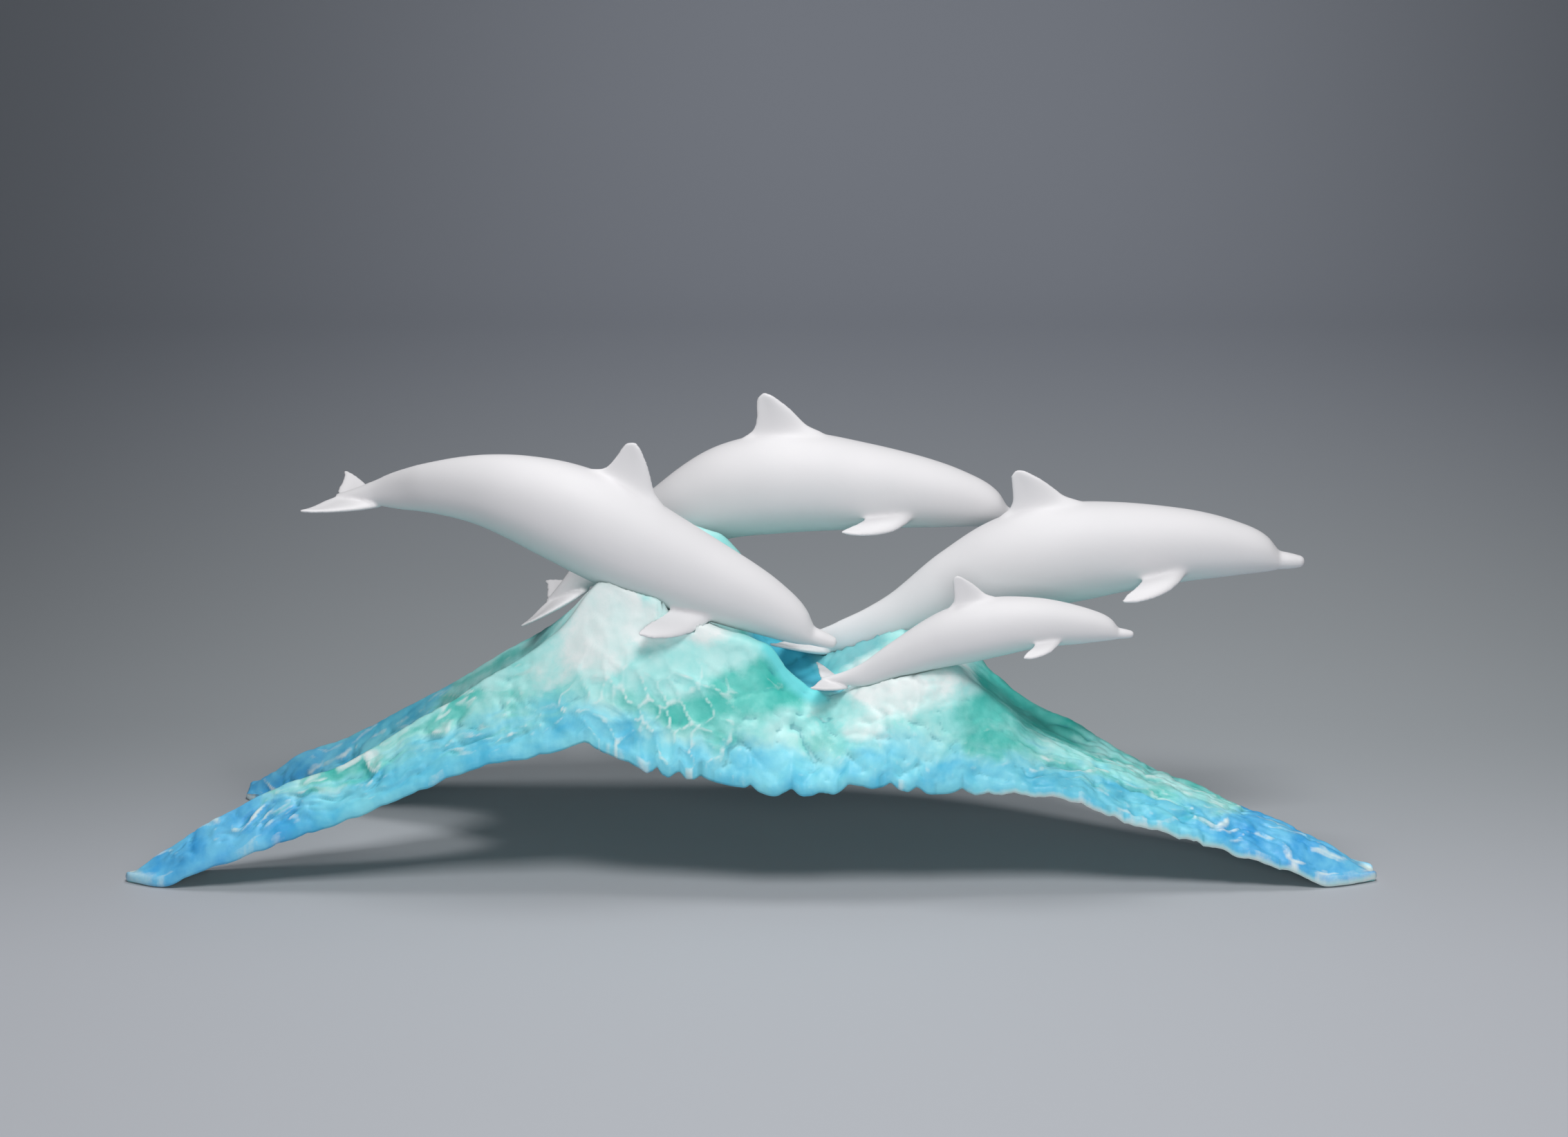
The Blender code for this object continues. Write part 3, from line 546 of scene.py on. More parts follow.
def flipper_rings(spine, points_to, low, side):
    """Rings of one flipper along a bent axis that leaves the body square to its face and
    turns to the tip; low is how far below the spine it starts, side is -1 near or 1 far."""
    place, aft, up, far = (v[0] for v in spine.frame(np.array([FLIPPER_STATION])))
    half, ratio, drop = read_table(BODY, np.array([FLIPPER_STATION]))[0]
    out = far * side
    tall = half * spine.length
    wide = tall * ratio
    level = math.sqrt(1 - low**2)
    face = place - up * (tall * low + drop * spine.length) + out * (wide * level)
    square = unit(out * (level / wide) - up * (low / tall))
    back, outward, down = points_to
    reach = (aft * back + out * outward - up * down) * spine.length
    size = np.linalg.norm(reach)
    start = face + square * (size * FLIPPER_ROOT)
    bend = face + square * (size * FLIPPER_TURN)
    tip = face + reach
    share = np.sin(np.linspace(0, 1, 60) * math.pi / 2)
    chord, thick, slip = read_table(FLIPPER, share).T
    t = share[:, None]
    axis = (1 - t) ** 2 * start + 2 * t * (1 - t) * bend + t**2 * tip
    along = unit((1 - t) * (bend - start) + t * (tip - bend))
    chordwise = unit(aft - along * (along @ aft)[:, None])
    middle = axis + chordwise * (slip * spine.length)[:, None]
    halves = chordwise * (chord * spine.length / 2 * tip_round(share))[:, None]
    return foil_rings(middle - halves, middle + halves, np.cross(along, chordwise),
                      thick * spine.length)


def finish_modifiers(thing, steps):
    """Apply a list of (kind, settings) modifiers and return the finished mesh object."""
    for kind, settings in steps:
        modifier = thing.modifiers.new(kind.lower(), kind)
        for key, value in settings.items():
            setattr(modifier, key, value)
    graph = bpy.context.evaluated_depsgraph_get()
    mesh = bpy.data.meshes.new_from_object(thing.evaluated_get(graph))
    name = thing.name
    old = thing.data
    bpy.data.objects.remove(thing)
    bpy.data.meshes.remove(old)
    mesh.name = name
    done = bpy.data.objects.new(name, mesh)
    bpy.context.scene.collection.objects.link(done)
    return done


def relax(mesh, points, weight):
    """Points drawn towards the mean of their neighbours, by their weight, a few times over."""
    first, second = read_all(mesh.edges, "vertices", 2, np.int32).T
    both = np.concatenate([first, second])
    other = np.concatenate([second, first])
    count = np.maximum(np.bincount(both, minlength=len(points)), 1)
    for _ in range(FILLET_ROUNDS):
        mean = np.stack([np.bincount(both, points[other, k], len(points)) / count
                         for k in range(3)], axis=1)
        points = points + (mean - points) * (0.5 * weight)[:, None]
    return points


def body_place(points, spine):
    """For each point the station on the spine and how far out it lies: 1 on the body's
    face, more out on a fin."""
    step = 2
    middle = spine.points[::step]
    _, near = nearest(points, middle)
    station = spine.station[::step][near]
    half, ratio, drop = read_table(BODY, station).T
    offset = points - middle[near]
    tall = (offset * spine.up[::step][near]).sum(axis=-1) / spine.length + drop
    wide = (offset * spine.far[::step][near]).sum(axis=-1) / spine.length
    return station, np.hypot(tall / half, wide / (half * ratio))


def nearest(points, spots):
    """Distance from each point to the nearest spot, and that spot's number, in batches."""
    gaps = []
    picks = []
    for batch in np.array_split(points, max(1, len(points) // 4000)):
        gap = np.linalg.norm(batch[:, None] - spots[None], axis=-1)
        pick = gap.argmin(axis=1)
        picks.append(pick)
        gaps.append(gap[np.arange(len(batch)), pick])
    return np.concatenate(gaps), np.concatenate(picks)


def make_dolphin(name, plan):
    """One casting: body, dorsal fin, flukes and flippers run together, with soft fillets
    where the fins leave the body."""
    spine = Spine(plan["spine"])
    near, far = (flipper_rings(spine, plan["flipper"], plan["flipper_low"], side)
                 for side in (-1, 1))
    points, faces = stack_lofts([
        body_rings(spine), dorsal_rings(spine, plan["fin_height"], plan["fin_forward"]),
        fluke_rings(spine, plan["fluke_roll"], plan["fluke_pitch"]), near[:, ::-1], far])
    thing = finish_modifiers(put_mesh(f"{name}_cast", points, faces), [
        ("REMESH", {"mode": "VOXEL", "voxel_size": plan["voxel"] * MM * COARSE}),
        ("SMOOTH", {"factor": 0.5, "iterations": 5})])
    mesh = thing.data
    points = read_all(mesh.vertices, "co")
    station, out = body_place(points, spine)
    root = (1 - ease(1.2, 1.6, out)) * band((0.10, 0.16), (0.84, 0.9), station)
    points = relax(mesh, points, root)
    mesh.vertices.foreach_set("co", points.astype(np.float32).ravel())
    mesh.update()
    mesh.shade_smooth()
    return thing, spine


def belly_share(mesh, spine):
    """How much aqua each vertex has, partly overspray and partly a painted reflection of the
    wave below: 1 on the underside of the body, 0 on the back, the beak and the fins."""
    station, out = body_place(read_all(mesh.vertices, "co"), spine)
    up = between(station, spine.station, spine.up)
    down = -(read_all(mesh.vertex_normals, "vector") * up).sum(axis=-1)
    body = (1 - ease(1.1, 1.4, out)) * band((0.08, 0.3), (0.88, 0.96), station)
    return ease(0.15, 1.0, down) * body


def add_node(tree, kind, out, settings=(), **links):
    """Add a shader node with its settings, then its inputs, each a value or another node's
    output. Gives the output that is asked for."""
    node = tree.nodes.new("ShaderNode" + kind)
    for key, value in dict(settings).items():
        setattr(node, key, value)
    for key, value in links.items():
        key = key[1:] if key[1:].isdigit() else key.replace("_", " ")
        socket = node.inputs[int(key) if key.isdigit() else key]
        if isinstance(value, bpy.types.NodeSocket):
            tree.links.new(value, socket)
        else:
            socket.default_value = value
    return node.outputs[out]


def new_material(name):
    """An empty material with its Principled shader."""
    material = bpy.data.materials.new(name)
    material.use_nodes = True
    return material, material.node_tree, material.node_tree.nodes["Principled BSDF"]


def wave_lines():
    """The wave's lines at every column, in metres, and the column where the left legs fork."""
    fork_x = POOL[0][0]
    left, left_rear, right = FRONT_HEM[0][0], REAR_HEM[0][0], FRONT_HEM[-1][0]
    fork = 2 * round(ALONG * (fork_x - left) / (right - left) / 2)
    front_x = np.concatenate([np.linspace(left, fork_x, fork + 1),
                              np.linspace(fork_x, right, ALONG + 1 - fork)[1:]])
    rear_x = front_x.copy()
    rear_x[:fork + 1] = np.linspace(left_rear, fork_x, fork + 1)

    def line(table, x):
        return np.column_stack([x, read_table(table, x)]) * MM + STAND

    pool_front = np.concatenate([line(FRONT_LEG_INNER, front_x[:fork + 1]),
                                 line(POOL, front_x[fork + 1:])])
    pool_rear = np.concatenate([line(REAR_LEG_INNER, rear_x[:fork + 1]),
                                line(POOL, rear_x[fork + 1:])])
    return (line(FRONT_HEM, front_x), line(FRONT_CREST, front_x), pool_front, pool_rear,
            line(REAR_CREST, rear_x), line(REAR_HEM, rear_x), fork)


def straight(first, second, steps):
    """Rows from one line to the next, evenly spaced, the last left out."""
    share = np.linspace(0, 1, steps, endpoint=False)[:, None, None]
    return first + (second - first) * share


def drape(rows, held):
    """Round the folds across the wave by a running mean over its rows, then give the rows
    that are held their own height back, fading over a few millimetres."""
    plain = rows.copy()
    for _ in range(DRAPE_ROUNDS):
        rows[1:-1] = rows[1:-1] / 2 + (rows[:-2] + rows[2:]) / 4
    for row, share in held:
        back = (plain[row] - rows[row]) * np.asarray(share)[..., None]
        gap = (np.arange(len(rows)) - row) * FINE / HOLD_ROWS
        rows = rows + np.exp(-gap**2)[:, None, None] * back
    return rows


def rows_run(rows):
    """Distance gone across the wave, from its front hem, at every point of the grid."""
    step = np.linalg.norm(np.diff(rows, axis=0), axis=-1)
    return np.concatenate([np.zeros((1, rows.shape[1])), np.cumsum(step, axis=0)])


def grid_normals(rows):
    """Outward directions of a grid of points, from its two slopes."""
    return unit(np.cross(np.gradient(rows, axis=1), np.gradient(rows, axis=0)))


def domes(a, b, seed):
    """Rounded bumps packed on a plane with creases between them: a half ball over each of
    the scattered points."""
    near, _ = dents(a, b, seed)
    return np.sqrt(np.clip(1 - (near / 0.85) ** 2, 0, 1))


def ridges(a, b, seed):
    """Sharp crests on a plane, from -1 to 1: noise folded over at its zero lines."""
    return 1 - 2.2 * np.abs(flow_noise(np.stack([a, b, 0 * a], axis=-1), seed))


def soften(values, rounds):
    """Running means over the grid's neighbours, both ways."""
    for _ in range(rounds):
        ends = np.pad(values, 1, mode="edge")
        values = values / 2 + (ends[:-2, 1:-1] + ends[2:, 1:-1] + ends[1:-1, :-2]
                               + ends[1:-1, 2:]) / 8
    return values


def leg_water(a, b, share):
    """Relief of the legs: strands that run their length, and puffs of two sizes, the large
    ones where a strand stands up. Also the large puffs by themselves."""
    strand = ridges(a / STRAND_LONG, b / STRAND_WIDE, 23)
    thread = ridges(2.3 * a / STRAND_LONG, 2.1 * b / STRAND_WIDE, 24)
    puff = domes(a / PUFF_SIZE, 1.35 * b / PUFF_SIZE, 25)
    pebble = domes(1.9 * a / PUFF_SIZE, 2.4 * b / PUFF_SIZE, 28)
    puff = puff * ease(-0.5, 0.5, strand + 0.5 * ease(0.7, 0.95, share))
    return (STRAND_TALL * (strand + 0.35 * thread - 0.3) + PUFF_TALL * (puff - 0.4)
            + 0.6 * PUFF_TALL * (pebble - 0.5)), puff


def middle_water(place, a, b):
    """Relief between the legs: shallow dents with sharp rims on the left, packed lumps
    under choppy bumps on the right. Also the rims and the share of the right side."""
    near, second = dents(a / WEB_SIZE, b / WEB_SIZE, 21)
    rims = (1 - ease(0.0, 0.26, second - near)) ** 1.3
    chop = domes(a / CHOP_SIZE, b / CHOP_SIZE, 26) - 0.6
    web = WEB_TALL * (np.clip(near, 0, 1.1) ** 1.3 + 0.4 * rims - 0.5) + 0.35 * chop
    lumps = LUMP_TALL * (domes(a / LUMP_SIZE, b / LUMP_SIZE, 27) - 0.7) + CHOP_TALL * chop
    right = ease(-45, 15, place[..., 0] + 18 * flow_noise(place / 30, 14))
    low = 1 - ease(98, 118, place[..., 2])
    middle = (web + (lumps - web) * right) * (0.35 + 0.65 * np.maximum(low, right))
    return middle, rims * low * (1 - 0.6 * right), right


def hem_lobes(x):
    """How far the hem's lobes hang: a row of arches of changing depth with small teeth,
    shallower on the legs."""
    along = np.stack([x, 0 * x, 0 * x], axis=-1)
    phase = x / LOBE_STEP + 0.8 * flow_noise(along / 38, 33) + 0.2 * flow_noise(along / 15, 35)
    lobe = np.abs(np.sin(math.pi * phase)) - 0.62
    tooth = np.abs(np.sin(2.7 * math.pi * phase)) - 0.6
    depth = 0.8 + 0.9 * flow_noise(along / 26, 34)
    lobe = (lobe * depth + 0.12 * tooth) * (0.3 + 0.7 * ease(-95, -62, x))
    return lobe * (1 - 0.6 * ease(80, 150, x))


def sculpt(rows, share):
    """Relief of the water, in millimetres: that of the legs and of the middle, calmer on
    the crests and the rear slope, with round swells, a thin lip before the pool and lobes
    along the hem. Also what the brush follows, by name."""
    place = (rows - STAND) / MM
    x, y = place[..., 0], place[..., 1]
    run = rows_run(rows) / MM
    from_hem = np.minimum(run, run[-1] - run)
    leg = ease(*LEG_REACH, np.abs(x - LEG_MIDDLE))
    a, b = x, run
    for far, size, seed in WANDER_ALONG:
        a = a + far * flow_noise(place / size, seed)
    for far, size, seed in WANDER_ACROSS:
        b = b + far * flow_noise(place / size, seed)
    legs, puff = leg_water(a, b, share)
    legs = legs * (1 - 0.7 * (1 - ease(0, 9, from_hem)) * (1 - 0.5 * ease(0, 80, x)))
    middle, rims, right = middle_water(place, a, b)

    crown = ease(0.62, 1.0, share)
    slope = band((102, 122), (140, 185), x) * ease(28, 40, y)
    height = middle + (legs - middle) * leg
    height = height * (1 - (0.7 - 0.4 * right) * crown) * (1 - 0.55 * slope)
    height = height + SWELL_TALL * flow_noise(place / SWELL_SIZE, 31) * (0.35 + 0.65 * crown)
    height = height + 0.8 * ridges(a / 70, b / 8, 32) * slope
    tight = np.exp(-((y - LIP_Y) / 2.4) ** 2) * band((2, 8), (30, 38), x)
    height = height + LIP_TALL * tight
    lobe = hem_lobes(x)
    height = height + LOBE_PUFF * lobe * np.exp(-(from_hem / 12) ** 2)
    drop = LOBE_DEEP * lobe * np.exp(-(from_hem / 13) ** 2)
    ridge = puff * leg * ease(0.7, 0.85, share) * (1 - ease(20, 26, y)) * (x < 0)
    return {"place": place, "height": height, "drop": drop,
            "proud": height - soften(height, 16 // FINE), "rims": rims * (1 - leg),
            "puff": puff * leg, "ridge": ridge, "leg": leg, "slope": slope, "a": a, "b": b,
            "from_hem": from_hem}


def under_dolphins(dolphins):
    """Lowest height of the dolphins' surfaces over a fine plan, and the plan's corner."""
    cell = 1.3 * MM
    low = np.array(cad_low[:2]) - 10 * MM
    size = np.ceil((np.array(cad_high[:2]) + 10 * MM - low) / cell).astype(int)
    under = np.full(size, np.inf)
    for thing in dolphins:
        points = read_all(thing.data.vertices, "co")
        at = np.floor((points[:, :2] - low) / cell).astype(int)
        np.minimum.at(under, (at[:, 0], at[:, 1]), points[:, 2])
    return under, low, cell


def edge_loops(count, half, columns, fork):
    """The shell's edge once round, as rows and columns of the grid, and for each place the
    grid place just inside it. Each side has its rows, its columns and the step inwards."""
    wide = np.arange(columns)
    sides = ((0, wide, 1, 0), (np.delete(np.arange(1, count), half - 1), columns - 1, 0, -1),
             (count - 1, wide[-2::-1], -1, 0), (np.arange(count - 2, half - 1, -1), 0, 0, 1),
             (half, np.arange(1, fork), 1, 0), (half - 1, np.arange(fork, -1, -1), -1, 0),
             (np.arange(half - 2, 0, -1), 0, 0, 1))
    i, j, down, along = np.concatenate(
        [np.stack(np.broadcast_arrays(*side)) for side in sides], axis=1)
    tip = (i == half - 1) & (j == fork)
    return i, j, np.where(tip, i, i + down), np.where(tip, j + 1, j + along)


def sheet_quads(index, half, flip):
    """Quads between neighbouring places of a grid, leaving out the doubled row at the seam."""
    quads = np.concatenate([grid_quads(part[:, :-1], part[:, 1:])
                            for part in (index[:half], index[half:])])
    return quads[:, ::-1] if flip else quads


def wave_sheet():
    """The outer face before its relief: straight rows from line to line, rounded across by
    'drape'. Also each place's share of the way up to the crest, the two pool lines, the
    first row of the rear half and the column where the left legs fork."""
    front_hem, front_crest, pool_front, pool_rear, rear_crest, rear_hem, fork = wave_lines()
    lift = np.array([0, 0, LIP])
    front = np.concatenate([straight(front_hem + lift, front_crest, FACE_STEPS),
                            straight(front_crest, pool_front, BOWL_STEPS), pool_front[None]])
    rear = np.concatenate([pool_rear[None],
                           straight(rear_crest, pool_rear, BOWL_STEPS)[::-1],
                           straight(rear_hem + lift, rear_crest, BACK_STEPS)[::-1]])
    half = len(front)
    columns = ALONG + 1
    held = 1 - ease(fork, fork + FORK_FADE, np.arange(fork, columns))
    joined = drape(np.concatenate([front[:, fork:], rear[1:, fork:]]),
                   ((FACE_STEPS, 1.0), (half - 1, held), (half + len(rear) - 2 - BACK_STEPS, 1.0)))
    front_leg = drape(front[:, :fork], ((FACE_STEPS, 1.0),))
    rear_leg = drape(rear[:, :fork], ((BOWL_STEPS, 1.0),))
    sheet = np.concatenate([np.concatenate([front_leg, joined[:half]], axis=1),
                            np.concatenate([rear_leg, joined[half - 1:]], axis=1)])
    bowl = 1 - 0.5 * np.linspace(0, 1, BOWL_STEPS + 1)
    share = np.concatenate([np.linspace(0, 1, FACE_STEPS + 1), bowl[1:], bowl[:0:-1],
                            np.linspace(1, 0, BACK_STEPS + 1)])
    return sheet, share[:, None] + np.zeros((1, columns)), pool_front, pool_rear, half, fork


def carve(calm, share, half, fork, dolphins):
    """The outer face with its relief, its torn hem, its feet set on the floor and its seats
    pressed down under the dolphins. Also what the brush follows and the outward directions."""
    above = ease(0, RELIEF_FROM, calm[..., 2])
    marks = sculpt(calm, share)
    normals = grid_normals(calm)
    normals[half - 1, fork:] = unit(normals[half - 2, fork:] + normals[half + 1, fork:])
    normals[half, fork:] = normals[half - 1, fork:]
    sheet = calm + normals * (marks["height"] * MM * (0.3 + 0.7 * above))[..., None]
    sheet[..., 2] -= marks["drop"] * MM * above
    sheet[half, fork:] = sheet[half - 1, fork:]
    ends = np.minimum(calm[..., 0] - calm[:, :1, 0], calm[:, -1:, 0] - calm[..., 0])
    rise = FOOT_TIP + (FOOT_RISE - FOOT_TIP) * ease(0, FOOT_ROUND, ends)
    sheet[..., 2] = rise + FOOT_SOFT * np.logaddexp(0, (sheet[..., 2] - rise) / FOOT_SOFT)
    under, low, cell = under_dolphins(dolphins)
    at = np.floor((sheet[..., :2] - low) / cell).astype(int)
    sheet[..., 2] = np.minimum(sheet[..., 2], under[at[..., 0], at[..., 1]] - SEAT_GAP)
    return sheet, marks, normals


def line_inside(calm, sheet, normals, pools, half, edge, spines):
    """The inner face: the calm sheet lowered by the wall, more on steep faces and under
    the bellies, but nowhere nearer than a thin wall, or below the straight line that runs
    from the hem's underside to the underside of the pool or of the leg's inner edge."""
    slope = np.clip(1 / np.maximum(normals[..., 2], 1e-3), 1.0, STEEPEST)
    inside = calm.copy()
    inside[..., 2] -= SHEET * slope + seat_pad(calm, spines)
    drop = sheet[..., 2] - LIP
    for part, hem, pool in ((slice(0, half), drop[0], pools[0]),
                            (slice(half, None), drop[-1], pools[1])):
        start = calm[0 if part.start == 0 else -1, :, 1]
        across = np.clip((calm[part, :, 1] - start) / (pool[:, 1] - start), 0, 1)
        rim = hem + np.minimum(pool[:, 2] - LIP - hem, 0) * across
        inside[part, :, 2] = np.maximum(inside[part, :, 2], rim)
    inside[edge[0], edge[1], 2] = drop[edge[0], edge[1]]
    inside[..., 2] = np.clip(inside[..., 2], 0, sheet[..., 2] - THIN_WALL)
    return inside


def round_rim(sheet, inside, calm, edge):
    """Loops of points that run round the shell's edge: half an oval from the outer face to
    the inner one."""
    i, j, inner_i, inner_j = edge
    outer = sheet[i, j]
    inner = inside[i, j]
    outward = unit(calm[i, j] - calm[inner_i, inner_j])
    turn = np.linspace(0, math.pi, RIM_STEPS + 1)[1:-1, None, None]
    loops = (outer + inner) / 2 + (outer - inner) / 2 * np.cos(turn) + (
        outward * RIM_BULGE * np.sin(turn))
    loops[..., 2] = np.maximum(loops[..., 2], 0)
    return loops


def shell_faces(count, columns, half, fork, edge, loops, kept):
    """Faces of the closed shell: the outer grid, bands round the rim, the inner grid of
    every second row and column, and the triangles that stitch it to the rim."""
    i, j, _, _ = edge
    index = np.arange(count * columns).reshape(count, columns)
    index[half, fork:] = index[half - 1, fork:]
    small_half = half // 2 + 1
    below = np.arange(kept[0] * kept[1]).reshape(kept) + count * columns + loops * len(i)
    below[small_half, fork // 2:] = below[small_half - 1, fork // 2:]
    a, b, _, _ = edge_loops(kept[0], small_half, kept[1], fork // 2)
    ring = np.arange(loops * len(i)).reshape(loops, -1) + count * columns
    ring = np.concatenate([index[i, j][None], ring])
    after = np.roll(ring, -1, axis=1)
    bands = np.stack([ring[:-1], ring[1:], after[1:], after[:-1]], axis=-1).reshape(-1, 4)
    inner = below[a, b]
    following = np.roll(inner, -1)
    even, odd = ring[-1, 0::2], ring[-1, 1::2]
    stitch = np.concatenate([np.stack([even, inner, odd], axis=1),
                             np.stack([odd, inner, following], axis=1),
                             np.stack([odd, following, np.roll(even, -1)], axis=1)])
    return [sheet_quads(index, half, False), bands, sheet_quads(below, small_half, True),
            stitch]


def rim_paint(values, edge_x, bare):
    """A paint's share on the rim's loops: the outer face's colour wraps over the edge and
    thins out beneath, sooner on the right leg, where it ends in the bare rim."""
    wrap = np.linspace(0, 1, RIM_STEPS + 1)[1:-1, None]
    thin = ease(0.25, 0.8, wrap) * ease(85, 130, edge_x)
    return (values * (1 - thin) + bare * thin).ravel()


def make_wave(dolphins, spines):
    """The wave as one closed shell: a fine outer face, a plainer inside and a round rim."""
    calm, share, pool_front, pool_rear, half, fork = wave_sheet()
    sheet, marks, normals = carve(calm, share, half, fork, dolphins)
    count, columns = share.shape
    edge = edge_loops(count, half, columns, fork)
    inside = line_inside(calm, sheet, normals, (pool_front, pool_rear), half, edge, spines)
    loops = round_rim(sheet, inside, calm, edge)
    rows_kept = np.concatenate([np.arange(0, half, 2), np.arange(half, count, 2)])
    small = inside[rows_kept][:, ::2]
    faces = shell_faces(count, columns, half, fork, edge, len(loops), small.shape[:2])
    points = np.concatenate([sheet.reshape(-1, 3), loops.reshape(-1, 3),
                             small.reshape(-1, 3)])
    used = np.zeros(len(points), bool)
    for part in faces:
        used[part] = True
    renumber = np.cumsum(used) - 1
    thing = put_mesh("wave_casting", points[used], [renumber[part] for part in faces])
    edge_x = (sheet[edge[0], edge[1], 0] - STAND[0]) / MM
    for name, values in paint_plan(marks).items():
        rim = rim_paint(values[edge[0], edge[1]], edge_x, BARE_RESIN if name == "white" else 0.0)
        # The dark teal of the painted shade also covers the inside, where it stands for teal
        # overspray.
        drift = INSIDE_TEAL if name == "painted_shade_and_inside_teal" else 0.0
        whole = np.concatenate([values.ravel(), rim, np.full(small[..., 0].size, drift)])
        paint_value(thing.data, name, whole[used])
    thing.data.shade_smooth()
    return thing


def seat_pad(rows, spines):
    """Extra wall under the dolphins' bellies, at its most right below a body."""
    pad = np.zeros(rows.shape[:-1])
    for spine in spines:
        for middle in spine.points[SEAT_PLACES]:
            gap = np.hypot(rows[..., 0] - middle[0], rows[..., 1] - middle[1])
            lift = np.clip(middle[2] - rows[..., 2] - SEAT_PAD_DROP, 0, None)
            pad = np.maximum(pad, np.exp(-2 * (gap**2 + lift**2) / SEAT_PAD_REACH**2))
    return pad * SEAT_PAD


def spots_share(place, spots):
    """Airbrush spots, each x, height, half length, half height and strength; 1 where they
    cover fully."""
    bare = np.ones(place.shape[:-1])
    for at_x, at_z, length, tall, strength in spots:
        far = np.hypot((place[..., 0] - at_x) / length, (place[..., 2] - at_z) / tall)
        bare = bare * (1 - strength * np.exp(-far**2 * 1.2))
    return 1 - bare


def paint_plan(marks):
    """Where each paint lies on the outer face, from 0 to 1: sky blue up from the hem, with
    deeper blue over the feet, green in clouds and on the rear slope, blue in the pool with
    a cyan lip, dark teal as painted shade in the creases and as a painted shadow behind the
    pool, and white on the peaks, wherever a ripple stands proud, in feathers on the right
    leg and on the bare tips of the feet. The clouds are round in the middle and drawn out
    along the legs."""
    place, leg, proud, slope, from_hem = (
        marks[name] for name in ("place", "leg", "proud", "slope", "from_hem"))
    x, y, z = place[..., 0], place[..., 1], place[..., 2]
    drawn = np.stack([marks["a"] / 46, marks["b"] / 11, 0 * x], axis=-1)
    broad = layered(place / 32, 41) * (1 - leg) + layered(drawn, 42) * leg
    patch = layered(place / 13, 44) * (1 - leg) + layered(drawn * 2.2, 45) * leg
    clumps = patch + 0.3 * broad

    reach = HEM_BLUE + 2 * ease(110, 170, np.abs(x)) + 46 * ease(222, 268, np.abs(x))
    reach = reach + 60 * (1 - ease(-185, -135, x)) * ease(80, 95, y)
    sky = 1 - ease(-11, 11, from_hem - reach + 9 * broad + 6 * patch)
    sky = np.maximum(sky, spots_share(place, BLUE_SPOTS) * ease(-0.5, 0.4, broad))
    foot = ease(175, 255, np.abs(x) + 14 * patch)
    green = spots_share(place, GREEN_SPOTS) + 0.26 * broad + 0.18 * patch
    green = np.maximum(ease(0.18, 0.85, green), ease(0.0, 0.9, slope + 0.25 * patch))
    green = np.maximum(green, ease(0.1, 0.9, 0.45 + 0.6 * broad + 0.4 * patch) * leg * 0.8)

    pool = band((25, 31), (78, 90), y) * band((-6, 2), (58, 72), x)
    # A fifth of the pool's blue stays on the rise behind it, as part of the painted shade there.
    pool = pool * (1 - ease(34, 48, x + 0.35 * (y - 40)) * 0.8) * (1 - ease(112, 124, z))
    lip = band((LIP_Y - 6, LIP_Y - 2), (LIP_Y + 5, LIP_Y + 9), y) * band((0, 8), (32, 42), x)
    # Painted shadow of the right dolphin's tail on the rise behind the pool: it lays the dark teal
    # there and takes off the white.
    behind = band((20, 34), (58, 74), x) * band((50, 60), (80, 92), y)

    brushed = ease(0.1, 0.75, proud) * ease(-0.65, 0.35, patch + 0.5 * broad)
    lines = marks["rims"] * ease(-0.15, 0.6, clumps) * ease(6, 16, from_hem)
    feather = ease(0.15, 0.95, patch + 0.4 * proud) * ease(140, 185, x) * (1 - ease(30, 50, y))
    dabs = np.max([(0.7 + 0.1 * leg) * brushed, 0.66 * lines, 0.75 * feather,
                   0.4 * ease(0.5, 1.0, marks["puff"]) * ease(0.1, 0.6, clumps),
                   0.7 * ease(0.45, 0.95, marks["ridge"]) * ease(0.0, 0.5, patch)], axis=0)
    peak = spots_share(place, WHITE_SPOTS) + 0.30 * broad + 0.20 * patch
    white = np.maximum(ease(0.30, 0.95, peak) * (1 - 0.8 * slope), dabs * (1 - 0.75 * slope))
    cap = (1 - ease(2, 7, z + 1.2 * patch)) * ease(270, 288, np.abs(x))
    white = np.maximum(white * (1 - pool) * (1 - lip) * (1 - behind), cap)
    # The dark teal coat is painted shade: in the creases, where the relief lies below its local
    # mean, and in the painted shadow behind the pool.
    return {"sky": sky, "foot": foot, "green": green * (1 - 0.5 * white) * (1 - pool),
            "pool": pool, "lip": lip, "painted_shade_and_inside_teal": np.maximum(ease(0.1, 1.0, -proud), behind),
            "white": white}


def add_finish(tree, shader, colour, grain, rough, strength, tall):
    """Link the colour, let the fine grain vary the roughness between two values, and let it
    raise bumps so strong and, in millimetres, so tall."""
    gloss = add_node(tree, "MapRange", "Result", Value=grain, From_Min=0.3, From_Max=0.7,
                     To_Min=rough[0], To_Max=rough[1])
    bump = add_node(tree, "Bump", "Normal", Height=grain, Strength=strength,
                    Distance=tall * MM)
    for name, value in (("Base Color", colour), ("Roughness", gloss), ("Normal", bump)):
        tree.links.new(value, shader.inputs[name])


